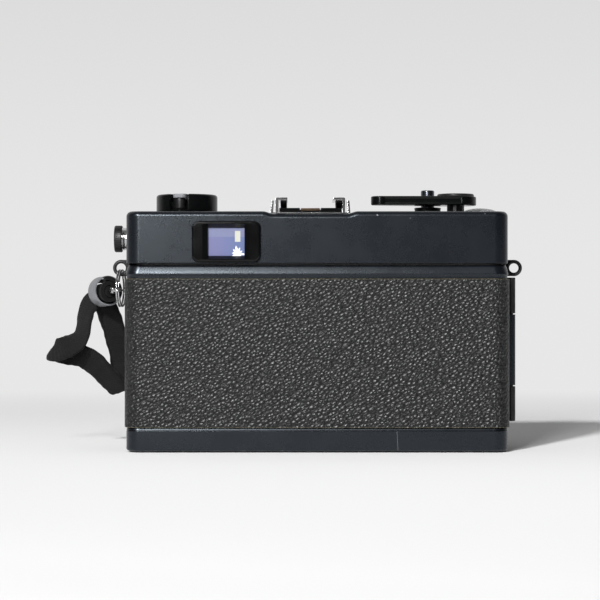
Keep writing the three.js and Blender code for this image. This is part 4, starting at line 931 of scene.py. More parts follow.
# The door is one pressed sheet: a rounded rail above the cloth, a narrow one below it. Its
# section runs down through pairs of a height and how far the sheet stands out there.
door = {
    "seam": -7.3, "wall": 1, "endSwell": 0.6,
    "rail": [(55.1, -1.76), (54.95, -1.30), (54.8, -0.85), (54.65, -0.58), (54.45, -0.40),
             (54.15, -0.304), (53.85, -0.213), (53.55, -0.127), (53.25, -0.046), (53.0, 0.017),
             (52.75, 0.075), (52.5, 0.127), (52.3, 0.155), (52.15, 0.15), (52.0, 0.09),
             (51.85, 0.0), (51.7, -0.06), (51.5, -0.09), (51.0, -0.10), (50.85, -0.34),
             (8.0, -0.6), (6.9, -0.6), (6.85, -0.30), (6.8, -0.17), (6.65, -0.135),
             (6.5, -0.10), (6.35, -0.065), (6.2, -0.035), (6.15, -0.03)],
}
# the door's knuckle runs between the leaf's two, with a gap round it and at each end
hinge = {"knuckle": 1.25, "span": (19.2, 40.3), "gap": 0.3, "bore": 0.66, "leafEnd": -2.5}


def makeDoor():
    high = Vector((bodySide, door["seam"], door["rail"][0][0]))
    low = Vector((-bodySide, -bodyBack, door["rail"][-1][0]))
    piece = addBlock("doorShell", low, high)
    roundUprights(piece, body["cornerRadius"], 14, lambda spot: spot.y < -12)
    scoreAcross(piece, [(0, 0, level) for level, swell in door["rail"][1:-1]], upward)
    # each level is drawn in or out about the middle of the seam, the ends less than the back
    deep = high.y - low.y
    for level, swell in door["rail"]:
        pick(piece, "VERT", lambda corner: abs(corner.co.z / mm - level) < 0.01)
        bpy.ops.transform.resize(
            value=((high.x + max(swell, -door["endSwell"])) / high.x, (deep + swell) / deep, 1),
            center_override=metres((0, door["seam"], level)))
    letGo()
    wall = door["wall"]
    inside = addBlock("roomCutter", (low.x + wall, low.y + wall, low.z - 1),
                      (high.x - wall, high.y + 1, high.z + 1))
    roundUprights(inside, body["cornerRadius"] - wall, 14, lambda spot: spot.y < -12)
    combine(piece, inside)

    x, y = hingeAxis
    bottom, top = hinge["span"]
    knuckle = addRod("knuckle", (x, y, bottom), upward, hinge["knuckle"], top - bottom)
    web = addBlock("web", (56.0, y - hinge["knuckle"], bottom), (57.75, door["seam"], top))
    tongue = addBlock("tongue", (-56, -9, 28), (-53.7, door["seam"], 34))
    hook = addBlock("hook", (-54.9, -9, 28), (-53.7, -4.6, 34))
    soften(tongue, 0.2, 2)
    soften(hook, 0.2, 2)
    weld(piece, knuckle, web, tongue, hook)
    for side in (-1, 1):
        stud = addTurned("stud", (lensAxis[0] + 15 * side, -15, lensAxis[1]), forward,
                         [(0, 0), (1, 0), (1, 4), (0.85, 4.1), (0, 4.1)], 32)
        weld(piece, stud)
    drill(piece, (x, y, bottom - 1), upward, hinge["bore"], top - bottom + 2, 32)
    finishPiece(piece, "back_door", angle=25)


def wrapCloth(name, rear, front, far):
    # a band of cloth round the body's ends, over whichever long side it reaches
    half = bodySide + cloth["thick"]
    low = Vector((-half, max(rear, -far), cloth["bottom"]))
    high = Vector((half, min(front, far), cloth["top"]))
    piece = addBlock(name, low, high)
    radius = body["cornerRadius"] + cloth["thick"]
    roundUprights(piece, radius, 16, lambda spot: abs(spot.y) > far - 0.1)

    def rim(edge):
        level = middleOf(edge).z
        return (not runsAlong(edge, upward)
                and min(abs(level - cloth["bottom"]), abs(level - cloth["top"])) < 0.01)
    roundEdges(piece, cloth["round"], rim, 3)
    reach = bodyBack - cloth["under"]
    wide = bodySide - cloth["under"]
    inside = addBlock("bodyCutter", (-wide, max(rear - 1, -reach), low.z - 1),
                      (wide, min(front + 1, reach), high.z + 1))
    roundUprights(inside, body["cornerRadius"] - cloth["under"], 16,
                  lambda spot: abs(spot.y) > reach - 0.1)
    combine(piece, inside)
    return piece


def makeLeathers():
    rear = wrapCloth("doorCloth", -16, -7.6, 16)
    cutBlock(rear, (55, -8.7, 5), (60, -7, 60))
    finishPiece(rear, "door_leather", angle=30)
    front = wrapCloth("frontCloth", -6.7, 16, 16)
    # cleared round the hinge leaf, the lens tube and the self-timer's axle
    cutBlock(front, (55, -8, 5), (60, -2.2, 60))
    drill(front, (lensAxis[0], 13, lensAxis[1]), forward, 19.3, 5, 96)
    drill(front, (timerAxis[0], 13, timerAxis[1]), forward, 1.8, 5, 32)
    finishPiece(front, "front_leather", angle=30)


makeTopCover()
makeBottomCover()
makeDoor()
makeLeathers()
print("covers, door and cloth made")


# Finder eyepiece
eyepiece = {"corner": 2.0, "rim": 0.75, "sight": (10.8, 8.4), "slope": (14.0, 10.3),
            "neck": (7.4, 5.2)}


def makeEyepiece():
    low, high = boxOf("eyepiece_frame")
    glassLow, glassHigh = boxOf("eyepiece_glass")
    centre = (low + high) / 2
    holeX, holeZ = (width / 2 for width in eyepiece["sight"])
    face = -bodyBack
    piece = addBlock("ocularFrame", low, (high.x, face, high.z))
    roundUprights(piece, eyepiece["corner"], 10, None, forward)
    roundEdges(piece, eyepiece["rim"], lambda edge: middleOf(edge).y < low.y + 0.01, 6)
    neckX, neckZ = eyepiece["neck"]
    neck = addBlock("neck", (centre.x - neckX, face - 0.4, centre.z - neckZ),
                    (centre.x + neckX, high.y, centre.z + neckZ))
    weld(piece, neck)
    funnel = addBlock("funnel", (centre.x - holeX, low.y - 0.01, centre.z - holeZ),
                      (centre.x + holeX, face, centre.z + holeZ))
    pick(funnel, "FACE", lambda side: side.normal.y < -0.9)
    wide, tall = eyepiece["slope"]
    bpy.ops.transform.resize(value=(wide / (2 * holeX), 1, tall / (2 * holeZ)),
                             center_override=metres((centre.x, low.y, centre.z)))
    letGo()
    roundUprights(funnel, 0.5, 4, lambda spot: abs(spot.y - low.y) > 0.1)
    combine(piece, funnel)
    # the sight hole, and the glass's seat
    cutBlock(piece, (centre.x - holeX, face - 0.2, centre.z - holeZ),
             (centre.x + holeX, high.y + 1, centre.z + holeZ))
    cutBlock(piece, (glassLow.x - 0.3, glassLow.y - 0.3, glassLow.z - 0.3),
             (glassHigh.x + 0.3, high.y + 1, glassHigh.z + 0.3))
    soften(piece, 0.12, 2, 35)
    finishPiece(piece, "eyepiece_frame", angle=35)

    glass = addBlock("ocularGlass", glassLow, glassHigh)
    soften(glass, 0.15, 2)
    finishPiece(glass, "eyepiece_glass", finish=eyepieceFinish())


# Rewind knob with its folding crank
knob = {
    "radius": 9.2, "low": 71.1, "top": 76.3, "round": 0.9, "bearing": 257,
    "channel": 2.3, "channelFloor": 74.8, "notchHalf": 2.9, "notchDepth": 3.6,
}
crank = {"half": 2.0, "thick": 1.2, "reach": 8.95, "tipRound": 1.2, "handleReach": 7.3}


def turnToNotch(pieces):
    # from the +X drawing position round to the notch's bearing
    for piece in pieces:
        putAt(piece, (*rewindAxis, 0), (0, 0, math.radians(knob["bearing"])))


def makeKnob():
    radius, low, top, curve = (knob[key] for key in ("radius", "low", "top", "round"))
    profile = [(0, low), (radius - 0.25, low), (radius, low + 0.25), (radius, top - curve)]
    profile += arc((radius - curve, top - curve), curve, 12, 78, 6)
    profile += [(radius - curve, top), (radius - 2.2, top), (0, top)]
    piece = addTurned("rewindKnobCap", (0, 0, 0), upward, profile, 128)
    cutBlock(piece, (-12, -knob["channel"], knob["channelFloor"]), (12, knob["channel"], 80))
    cutBlock(piece, (radius - knob["notchDepth"], -knob["notchHalf"], 71.4),
             (12, knob["notchHalf"], 80))
    soften(piece, 0.16, 3, 35)
    pin = addRod("crankPin", (0, -2.5, 75.7), forward, 0.3, 5, 24)
    attach(piece, pin)

    half, thick, reach = crank["half"], crank["thick"], crank["reach"]
    tip = crank["tipRound"]
    outline = [(0, -half), (reach - tip, -half)]
    outline += arc((reach - tip, -half + tip), tip, -78, 0, 6)
    outline += arc((reach - tip, half - tip), tip, 0, 90, 6) + [(0, half)]
    arm = addPlate("foldingCrank", [(x, y, top - thick) for x, y in outline], (0, 0, thick))
    cutBlock(arm, (1.6, -0.75, 70), (4.6, 0.75, 80))
    soften(arm, 0.14, 2, 35)
    barrel = addRod("barrel", (0.1, 0.03 - half, top - thick / 2), forward, thick / 2 - 0.04,
                    2 * half - 0.06, 32)
    weld(arm, barrel)
    grip = crank["handleReach"]
    stud = addRod("stud", (grip, 0, 71.7), upward, 0.5, 4.2, 24)
    attach(arm, stud)

    handle = addRing("crankGrip", (grip, 0, 71.8), upward,
                     [(0.56, 0), (1.35, 0), (1.58, 0.18), (1.65, 0.5), (1.5, 1.6), (1.65, 2.7),
                      (1.58, 3.02), (1.35, 3.2), (0.56, 3.2)], 64)
    turnToNotch((piece, arm, handle))
    finishPiece(piece, "rewind_knob", finish=glossBlack, angle=35)
    finishPiece(arm, "rewind_crank", angle=35)
    finishPiece(handle, "crank_handle", finish=finishes["black_alloy"], angle=35)


# Winding lever, its cap, the shutter button and the frame counter
lever = {
    "hub": 6.2, "tipCentre": (-22.7, -3), "tip": 3, "low": 73.1, "top": 75.8, "round": 0.4,
    "grip": (17.5, 41), "insetMargin": 0.55, "insetDepth": 0.22,
}


def leverOutline():
    tipX, tipY = lever["tipCentre"]
    swing = math.degrees(math.atan2(-tipY, -tipX))
    lean = math.degrees(math.asin((lever["hub"] - lever["tip"]) / math.hypot(tipX, tipY)))
    upper, lower = 90 + swing - lean, 270 + swing + lean
    hub = arc((0, 0), lever["hub"], lower, upper + 360, 56)
    return hub + arc((tipX, tipY), lever["tip"], upper, lower, 24)


def makeLever():
    x, y = windingAxis
    outline = [(x + far, y + aside, lever["low"]) for far, aside in leverOutline()]
    piece = addPlate("windingLever", outline, (0, 0, lever["top"] - lever["low"]))
    roundEdges(piece, lever["round"], lambda edge: not runsAlong(edge, upward), 4)

    # the long side facing back is sunk between two rims, as a grip
    def rearFlank(face):
        start, end = lever["grip"]
        return (face.normal.y < -0.9 and start < middleOf(face).x < end
                and face.calc_area() > 2 * mm * mm)
    if pick(piece, "FACE", rearFlank):
        bpy.ops.mesh.inset(thickness=lever["insetMargin"] * mm, depth=-lever["insetDepth"] * mm)
    letGo()
    finishPiece(piece, "advance_lever", finish=glossBlack, angle=35)

    cap = addTurned("leverHubCap", (x, y, 0), upward,
                    [(0, 75.8), (5.55, 75.8), (5.55, 76.3), (5.3, 76.6), (4.6, 76.6),
                     (4.4, 76.4), (3.9, 76.4), (3.7, 76.6), (0, 76.6)], 96)
    for turn in (0, math.pi):
        # a pair of holes for a pin wrench
        spot = (x + 2.6 * math.cos(turn + 0.5), y + 2.6 * math.sin(turn + 0.5), 76.2)
        drill(cap, spot, upward, 0.45, 2, 24)
    soften(cap, 0.06, 2, 35)
    finishPiece(cap, "lever_cap", angle=35)


def makeButton():
    x, y = buttonAxis
    button = addTurned("releaseButton", (x, y, 0), upward,
                       [(0, 62), (0.8, 62), (0.8, 68.4), (2.85, 68.4), (2.85, 69.0), (2.05, 69.0),
                        (2.05, 77.7), (1.95, 77.95), (1.7, 78.1), (1.25, 78.05), (1.0, 77.4),
                        (0.9, 75.6), (0, 75.4)], 64)
    finishPiece(button, "shutter_button", finish=darkSteel, angle=35)
    sides = 90
    collar = addRing("buttonCollar", (x, y, 0), upward,
                     [(2.11, deck), (4.2, deck), (4.2, 71.2), (3.95, 71.35), (3.95, 72.2),
                      (4.1, 72.35), (4.1, 72.6), (3.9, 72.8), (2.11, 72.8)], sides)
    pick(collar, "FACE", lambda face: abs(middleOf(face).z - 71.77) < 0.2
         and inTurn(face, (x, y), sides))
    sink(0.16)
    finishPiece(collar, "button_collar", angle=35)


counter = {"radius": 5.8, "rise": 1.9, "wall": 0.8, "numbers": (1, 12, 24, 36)}


def makeCounter():
    x, y = counterAxis

    def bowl(radius, rise):
        turns = [math.pi / 2 * step / 12 for step in range(12)]
        return [(radius * math.cos(turn), deck + rise * math.sin(turn))
                for turn in turns] + [(0, deck + rise)]
    radius, rise, wall = counter["radius"], counter["rise"], counter["wall"]
    inside = bowl(radius - wall, rise - wall)
    dome = addTurned("counterLens", (x, y, 0), upward, [*inside[::-1], *bowl(radius, rise)], 72)
    finishPiece(dome, "counter_dome", angle=40)

    dial = addTurned("frameDial", (x, y, 0), upward,
                     [(0, 55.7), (0.5, 55.7), (0.5, 69.6), (4.7, 69.6), (4.7, 70.3), (4.6, 70.4),
                      (1.2, 70.4), (1.0, 70.25), (0, 70.25)], 72)
    coat(finishes["black_plastic"], dial)
    marks = []
    for index in range(12):
        turn = math.tau * index / 12
        long = 0.8 if index % 3 == 0 else 0.45
        mark = addBlock("tick", (4.45 - long, -0.07, 70.38), (4.45, 0.07, 70.44))
        putAt(mark, (x, y, 0), (0, 0, turn))
        marks.append(mark)
    for index, number in enumerate(counter["numbers"]):
        turn = math.tau * index / 4
        marks.append(addNumber(str(number), 1.35, (x + 2.7 * math.sin(turn),
                                                   y + 2.7 * math.cos(turn), 70.4), -turn))
    coat(paintWhite, *marks)
    attach(dial, *marks)
    finishPiece(dial, "counter_dial", angle=35)


def addNumber(text, height, place, turn=0, raised=0.05):
    # a plain figure lying on the surface at that place
    takeHold(None)
    bpy.ops.object.text_add()
    figure = bpy.context.object
    figure.data.body = text
    figure.data.size = height * mm
    figure.data.extrude = raised * mm
    figure.data.resolution_u = 3
    figure.data.align_x = "CENTER"
    figure.data.align_y = "CENTER"
    bpy.ops.object.convert(target="MESH")
    figure = bpy.context.object
    putAt(figure, place, (0, 0, turn))
    return figure


makeEyepiece()
makeKnob()
makeLever()
makeButton()
makeCounter()
print("top controls made")


# Accessory shoe: sprung chrome rails on a black floor, with one contact
shoe = {
    "half": 10.3, "sheet": 0.8, "bend": 0.45, "lipReach": 6.75,
    "ear": (11.1, 11.9), "earLean": 0.3, "earSpan": (-11.6, 7),
    "blades": (-8.85, 7.65), "bladeWide": 1.85, "bladeLong": 17.2, "bow": 1.9, "leaf": 0.25,
    "contactDeep": 0.4, "screws": (-8.2, 4.2),
}


def makeShoe():
    low, high = boxOf("shoe_rails")
    middle, half = lensAxis[0], shoe["half"]
    floor, top = low.z, high.z
    sheet = shoe["sheet"]
    # the rails as one bent strip: floor, wall and lip
    outline = [(-half, floor), (half, floor), (half, top), (shoe["lipReach"], top),
               (shoe["lipReach"], top - sheet), (half - sheet, top - sheet),
               (half - sheet, floor + 0.5), (-half + sheet, floor + 0.5),
               (-half + sheet, top - sheet), (-shoe["lipReach"], top - sheet),
               (-shoe["lipReach"], top), (-half, top)]
    piece = addPlate("shoeRails", [(middle + x, low.y, z) for x, z in outline],
                     (0, high.y - low.y, 0))
    roundUprights(piece, shoe["bend"], 5,
                  lambda spot: abs(abs(spot.x - middle) - half) < 0.1 and spot.z > top - 0.1,
                  forward)
    soften(piece, 0.12, 2, 35)
    # a spring ear stands outside each wall and leans in over its foot
    near, far = shoe["ear"]
    start, run = shoe["earSpan"]
    lean, foot = shoe["earLean"], half - 0.4
    outline = [(foot, floor + 0.03), (far, floor + 0.03), (far - lean, top - sheet),
               (near - lean, top - sheet), (near, floor + 0.5), (foot, floor + 0.5)]
    for side in (-1, 1):
        ear = addPlate("ear", [(middle + side * x, start, z) for x, z in outline], (0, run, 0))
        soften(ear, 0.12, 2, 35)
        weld(piece, ear)
    # a bowed spring blade hangs under each lip, to press on a fitted foot
    blades = []
    for across in shoe["blades"]:
        bow = [(low.y + 0.8 + step * shoe["bladeLong"] / 12,
                top - sheet - 0.02 - shoe["bow"] * math.sin(math.pi * step / 12) ** 0.7)
               for step in range(13)]
        outline = bow + [(y, z - shoe["leaf"]) for y, z in bow[::-1]]
        blade = addPlate("blade", [(middle + across, y, z) for y, z in outline],
                         (shoe["bladeWide"], 0, 0))
        blades.append(blade)
    coat(finishes["black_steel"], *blades)
    coat(finishes["chrome"], piece)
    attach(piece, *blades)
    finishPiece(piece, "shoe_rails", angle=35)

    baseLow, baseHigh = boxOf("shoe_base")
    contactLow, contactHigh = boxOf("shoe_contact")
    contactLow.z -= shoe["contactDeep"]
    base = addBlock("shoeFloor", baseLow, baseHigh)
    cutBlock(base, (contactLow.x - 0.3, baseLow.y - 1, contactLow.z),
             (contactHigh.x + 0.3, contactHigh.y + 0.3, baseHigh.z + 1))
    for x in shoe["screws"]:
        screw = addTurned("screw", (x, -0.6, 0), upward,
                          [(0, 71.4), (1.3, 71.4), (1.3, 71.8), (1.15, 71.88), (0, 71.9)], 32)
        cutBlock(screw, (x - 2, -0.8, 71.7), (x + 2, -0.4, 73))
        coat(finishes["chrome"], screw)
        coat(finishes["black_plastic"], base)
        attach(base, screw)
    soften(base, 0.1, 2, 35)
    finishPiece(base, "shoe_base", angle=35)

    contact = addBlock("shoeContact", contactLow, contactHigh)
    soften(contact, 0.1, 2)
    finishPiece(contact, "shoe_contact", angle=35)


# Hinge, lugs and flash socket at the ends
def makeHinge():
    x, y = hingeAxis
    low, high = boxOf("hinge_leaf")
    piece = addBlock("hingeLeaf", (bodySide, -7, low.z), (57.2, hinge["leafEnd"], high.z))
    roundUprights(piece, 0.9, 5, lambda spot: spot.y > -3, rightward)
    gap, radius = hinge["gap"], hinge["knuckle"]
    start, end = hinge["span"][0] - gap, hinge["span"][1] + gap
    drill(piece, (x, y, start), upward, radius + gap, end - start, 32)
    for bottom, top in ((low.z, start), (end, high.z)):
        knuckle = addTurned("knuckle", (x, y, 0), upward,
                            [(0, bottom), (radius - 0.15, bottom), (radius, bottom + 0.15),
                             (radius, top - 0.15), (radius - 0.15, top), (0, top)], 32)
        weld(piece, knuckle)
    drill(piece, (x, y, 5), upward, hinge["bore"], 50, 24)
    for z in (13.7, 46):
        drill(piece, (56.9, -4.4, z), rightward, 0.8, 1, 24)
        rivet = addTurned("rivet", (56.75, -4.4, z), rightward,
                          [(0, 0), (0.72, 0), (0.72, 0.4), (0.5, 0.6), (0, 0.66)], 24)
        attach(piece, rivet)
    finishPiece(piece, "hinge_leaf", angle=35)
    pin = addTurned("hingePin", (x, y, 0), upward,
                    [(0, low.z), (0.5, low.z), (0.6, low.z + 0.15), (0.6, high.z - 0.15),
                     (0.5, high.z), (0, high.z)], 32)
    finishPiece(pin, "hinge_pin", finish=finishes["black_steel"], angle=35)


lug = {"x": (-59.3, 59.8), "eye": (3, 54.3), "middle": 1.95, "wire": 0.55, "deep": 0.8,
       "plate": 0.55}


def makeLugs():
    for side, node, x in zip((-1, 1), ("strap_lug_left", "strap_lug_right"), lug["x"]):
        centre = (x, *lug["eye"])
        section = oval((lug["middle"], 0), lug["wire"], lug["deep"], 14)
        piece = addRing("strapEye" + ("Left" if side < 0 else "Right"), centre, forward,
                        section, 56)
        stem = addBlock("stem", (side * 56.4, 2.3, 53.45), (side * 57.6, 3.7, 55.05))
        soften(stem, 0.2, 2)
        # the eye is squared off where it meets the body
        reach, deep = lug["middle"] + lug["wire"] - 0.04, lug["plate"]
        y, z = lug["eye"]
        square = addBlock("square", (min(side * 57.2, x), y - deep, z - reach),
                          (max(side * 57.2, x), y + deep, z + reach))
        drill(square, (x, y - 2, z), forward, lug["middle"] - lug["wire"] + 0.02, 4)
        soften(square, 0.2, 2, 35)
        weld(piece, stem, square)
        finishPiece(piece, node, angle=40)


def makeFlashSocket():
    y, z = socketAxis
    root, leftward, sides = (-bodySide, y, z), (-1, 0, 0), 80
    piece = addTurned("flashSocket", root, leftward,
                      [(0, -2), (2.45, -2), (2.45, 0), (3.45, 0), (3.45, 0.3), (3.3, 0.4),
                       (3.3, 2.3), (3.45, 2.5), (3.85, 2.5), (4.05, 2.7), (4.05, 4.5),
                       (3.85, 4.8), (2.1, 4.8), (1.9, 4.6), (1.9, 2.5), (0, 2.5)], sides)
    coat(finishes["black_alloy"], piece)
    pick(piece, "FACE", lambda face: abs(middleOf(face).x + 60.1) < 0.4
         and math.hypot(middleOf(face).y - y, middleOf(face).z - z) > 3.98
         and inTurn(face, (y, z), sides, "yz"))
    sink(0.14)
    # the stem is bright metal, as is the contact pin in the middle
    sleeve = addRing("sleeve", root, leftward,
                     [(3.0, 0.05), (3.45, 0.05), (3.45, 0.5), (3.38, 0.6), (3.38, 2.0),
                      (3.45, 2.1), (3.45, 2.45), (3.0, 2.45)], sides)
    pin = addTurned("pin", root, leftward,
                    [(0, 2.4), (0.5, 2.4), (0.5, 3.9), (0.3, 4.1), (0, 4.1)], 24)
    coat(finishes["chrome"], sleeve, pin)
    attach(piece, sleeve, pin)
    finishPiece(piece, "flash_socket", angle=35)


makeShoe()
makeHinge()
makeLugs()
makeFlashSocket()
print("shoe, hinge and ends made")


# Strap hardware: split ring, link, ferrule and the rolled end of the tape
splitRing = {"centre": (-59.3, 3, 48.2), "radius": 5.4, "wide": 0.30, "deep": 0.4,
             "apart": 0.36, "turn": -7}
head = {
    "face": (-62.5, 1.6, 47.5), "direction": (0.47, -0.88, 0.06), "eye": (-59.96, -2.36, 47.5),
    "ferrule": 4.6, "ferruleWall": 0.5, "ferruleSpan": (-6.6, -1.3),
    "rollRadius": 3.7, "rollSpan": (-6.8, -1.5), "lipRadius": 4.35, "lipDeep": 1.5,
    "layer": 1.2, "turns": 2.7,
}


def makeSplitRing():
    coils = []
    for side in (-1, 1):
        section = oval((splitRing["radius"], side * splitRing["apart"]), splitRing["deep"],
                       splitRing["wide"], 12)
        coils.append(addRing("splitRing", (0, 0, 0), rightward, section, 72))
    # the short cross-over where one coil passes to the next
    step = addBlock("crossing", (-0.4, 5.12, -0.9), (0.4, 5.68, 0.9))
    soften(step, 0.2, 2)
    ring = attach(coils[0], coils[1], step)
    ring.name = "splitRing"
    putAt(ring, splitRing["centre"], (0, 0, math.radians(splitRing["turn"])))
    finishPiece(ring, "split_ring", angle=50)


def makeLink():
    # a wire eye round the ring, clenched in a block that the roll is sewn to
    centre = Vector(head["eye"])
    eye = addRing("strapLink", centre, upward, oval((1.3, 0), 0.34, 0.45, 12), 48)
    face = Vector(head["face"])
    span = (centre - face).normalized()
    shank = addRod("shank", face - span * 0.3, span, 0.5, (centre - face).length - 1.0, 24)
    block = addBlock("clench", (-1.15, -0.95, -1.1), (1.15, 0.95, 1.1))
    pick(block, "FACE", lambda face: face.normal.x > 0.9)
    bpy.ops.transform.resize(value=(1, 0.7, 0.75), center_override=metres((1, 0, 0)))
    letGo()
    soften(block, 0.5, 4)
    putAt(block, face + span * 1.5, (0, 0, math.atan2(span.y, span.x)))
    attach(eye, shank, block)
    eye.name = "strapLink"
    finishPiece(eye, "strap_link", angle=50)


def makeFerrule():
    outer, wall = head["ferrule"], head["ferruleWall"]
    start, end = head["ferruleSpan"]
    piece = addRing("strapFerrule", head["face"], head["direction"],
                    [(outer - wall, start), (outer - 0.15, start), (outer, start + 0.2),
                     (outer - 0.06, start + 1.6), (outer - 0.06, end - 1.6), (outer, end - 0.2),
                     (outer - 0.15, end), (outer - wall, end), (outer - wall - 0.04, -3)], 96)
    finishPiece(piece, "strap_ferrule", angle=40)


def makeRoll():
    # the tape's end wound on itself, flared where it stands out of the ferrule
    axis = Vector(head["direction"]).normalized()
    side = axis.orthogonal().normalized()
    up = axis.cross(side)
    start, end = head["rollSpan"]
    steps, layer = 110, head["layer"]
    outer, inner = [], []
    for step in range(steps + 1):
        share = step / steps
        turn = math.tau * head["turns"] * share
        radius = 0.35 + (head["rollRadius"] - 0.35) * share
        wobble = 1 + 0.04 * math.sin(3 * turn + 1) * share
        thick = min(layer * 0.86, radius * 0.8)
        outer.append((radius * wobble, turn))
        inner.append((max(radius - thick, 0.08) * wobble, turn))
    outline = [(radius * math.cos(turn), radius * math.sin(turn)) for radius, turn in outer]
    outline += [(radius * math.cos(turn), radius * math.sin(turn))
                for radius, turn in inner[::-1]]
    foot = Vector(head["face"]) + axis * start
    corners = [foot + side * x + up * y for x, y in outline]
    piece = addPlate("strapRoll", corners, axis * (end - start))
    mouth = Vector(head["face"]) + axis * end
    pick(piece, "FACE", lambda face: face.normal.dot(axis) > 0.99)
    swell = head["lipRadius"] / head["rollRadius"]
    bpy.ops.mesh.extrude_region_move(TRANSFORM_OT_translate={"value": metres(axis * 0.15)})
    bpy.ops.transform.resize(value=(swell, swell, swell), center_override=metres(mouth))
    bpy.ops.mesh.extrude_region_move(
        TRANSFORM_OT_translate={"value": metres(axis * (head["lipDeep"] - 0.3))})
    letGo()
    soften(piece, 0.2, 3, 50)
    finishPiece(piece, "strap_roll", angle=50)


makeSplitRing()
makeLink()
makeFerrule()
makeRoll()
print("strap hardware made")


# Lens, its rings and the front fittings
# the tube's radius, the tab's width, reach and turn, and the pitch of the filter thread
barrel = {"tube": 19.09, "tab": (8, 3, 40), "thread": 0.35}


# Each ring's profile runs from the tube out and back, as (radius, y). Its band is the range of
# y that is grooved. Its figures stand at figuresAt, (radius, y), with degrees between them.
lensRings = {
    "speed_ring": {
        "name": "speedRing", "sides": 160, "band": (18.9, 21.6), "pattern": 2, "depth": 0.3,
        "profile": [(23.8, 18.6), (24.2, 18.9), (24.2, 21.6), (23.9, 21.9), (23.6, 22.0),
                    (23.4, 23.8), (23.2, 24)],
        "figures": ["4", "8", "15", "30", "60", "125", "250", "500"],
        "figuresAt": (23.53, 22.9), "start": -52, "degrees": 15, "height": 1.35,
    },
    "focus_ring": {
        "name": "focusRing", "sides": 144, "band": (24.6, 27.6), "pattern": 3, "depth": 0.45,
        "profile": [(23.3, 24.3), (23.6, 24.6), (23.6, 27.6), (23.3, 27.9), (23.1, 28.1),
                    (23.1, 31.3), (22.9, 31.6)],
        "figures": ["0.8", "1", "1.2", "1.5", "2", "3", "5"],
        "figuresAt": (23.12, 29.7), "start": -40, "degrees": 13, "height": 1.5,
    },
    "aperture_ring": {
        "name": "apertureRing", "sides": 160, "band": (34.5, 36.9), "pattern": 2, "depth": 0.3,
        "profile": [(22.2, 31.9), (22.4, 32.1), (22.4, 34.2), (22.6, 34.4), (22.8, 34.5),
                    (22.8, 36.9), (22.5, 37.2)],
        "figures": ["2", "2.8", "4", "5.6", "8", "11", "16"],
        "figuresAt": (22.42, 33.2), "start": -34, "degrees": 11, "height": 1.35,
    },
}


def makeRing(node, ring):
    x, z = lensAxis
    profile, sides = ring["profile"], ring["sides"]
    back, front = ((barrel["tube"], y) for y in (profile[0][1], profile[-1][1]))
    piece = addRing(ring["name"], (x, 0, z), forward, [back, *profile, front], sides)
    low, high = ring["band"]
    reach = max(radius for radius, y in profile)

    def groove(face):
        spot = middleOf(face)
        return (low < spot.y < high and math.hypot(spot.x - x, spot.z - z) > reach - 0.3
                and inTurn(face, lensAxis, sides, "xz", ring["pattern"]))
    pick(piece, "FACE", groove)
    sink(ring["depth"])
    coat(finishes["black_alloy"], piece)
    if node == "focus_ring":
        attach(piece, makeTab())
    # figures round the ring, read from the front with the camera held level
    radius, y = ring["figuresAt"]
    for index, text in enumerate(ring["figures"]):
        turn = math.radians(ring["start"] + ring["degrees"] * index)
        # it lies on the top of the ring, with its head away from the body
        figure = addNumber(text, ring["height"], (0, 0, radius), math.pi, 0.04)
        putAt(figure, (x, y, z), (0, turn, 0))
        coat(paintWhite, figure)
        attach(piece, figure)
    finishPiece(piece, node, angle=35)


def makeTab():
    # the focusing tab, narrower toward its end
    width, reach, turn = barrel["tab"]
    tab = addBlock("tab", (-width / 2, 25.3, -23.6 - reach), (width / 2, 30.6, -22.6))
    pick(tab, "FACE", lambda face: face.normal.z < -0.9)
    bpy.ops.transform.resize(value=(0.7, 0.75, 1), center_override=metres((0, 27.95, -26.6)))
    letGo()
    soften(tab, 0.6, 4, 30)
    putAt(tab, (lensAxis[0], 0, lensAxis[1]), (0, math.radians(turn), 0))
    coat(finishes["black_alloy"], tab)
    return tab


def makeLens():
    x, z = lensAxis
    flange = addRing("lensFlange", (x, 0, z), forward,
                     [(13.06, bodyBack), (19, bodyBack), (19, 16.3), (24.9, 16.3), (25.2, 16.5),
                      (25.2, 18.0), (24.9, 18.3), (19, 18.3), (19, 37.5), (13.06, 37.5)], 144)
    finishPiece(flange, "lens_flange", angle=35)
    for node, ring in lensRings.items():
        makeRing(node, ring)

    # the filter ring, with its screw thread inside
    thread = []
    for step in range(8):
        y = 39.0 + step * barrel["thread"]
        thread += [(20.6, y), (20.85, y + barrel["thread"] / 2)]
    profile = [(13.4, 37.5), (21.2, 37.5), (21.6, 37.9), (21.6, 41.7), (21.4, 42), (20.8, 42)]
    profile += [(radius, y) for radius, y in thread[::-1]]
    profile += [(20.6, 38.7), (16.5, 38.7), (16.2, 38.5), (13.6, 38.5), (13.4, 38.4)]
    rim = addRing("filterRing", (x, 0, z), forward, profile, 144)
    finishPiece(rim, "filter_ring", angle=35)

    cell = addRing("lensCell", (x, 0, z), forward,
                   [(9.5, 21.5), (13, 21.5), (13, 36.8), (12.7, 37.1), (11.2, 37.1),
                    (10.7, 36.6), (10.7, 30.5), (9.5, 30.5)], 120)
    finishPiece(cell, "lens_cell", angle=35)

    shares = [step / 10 for step in range(11)]
    glass = [(10.4 * share, 32.1 + 1.2 * share ** 2) for share in shares]
    glass += [(10.4 * share, 36.7 - 1.2 * share ** 2) for share in shares[::-1]]
    front = addTurned("frontGlass", (x, 0, z), forward, glass, 96)
    finishPiece(front, "front_lens", finish=frontGlassFinish(), angle=40)


panel = {"corner": 0.9, "rim": 0.35, "grow": 0.3, "ribs": 12, "ribDeep": 0.18}


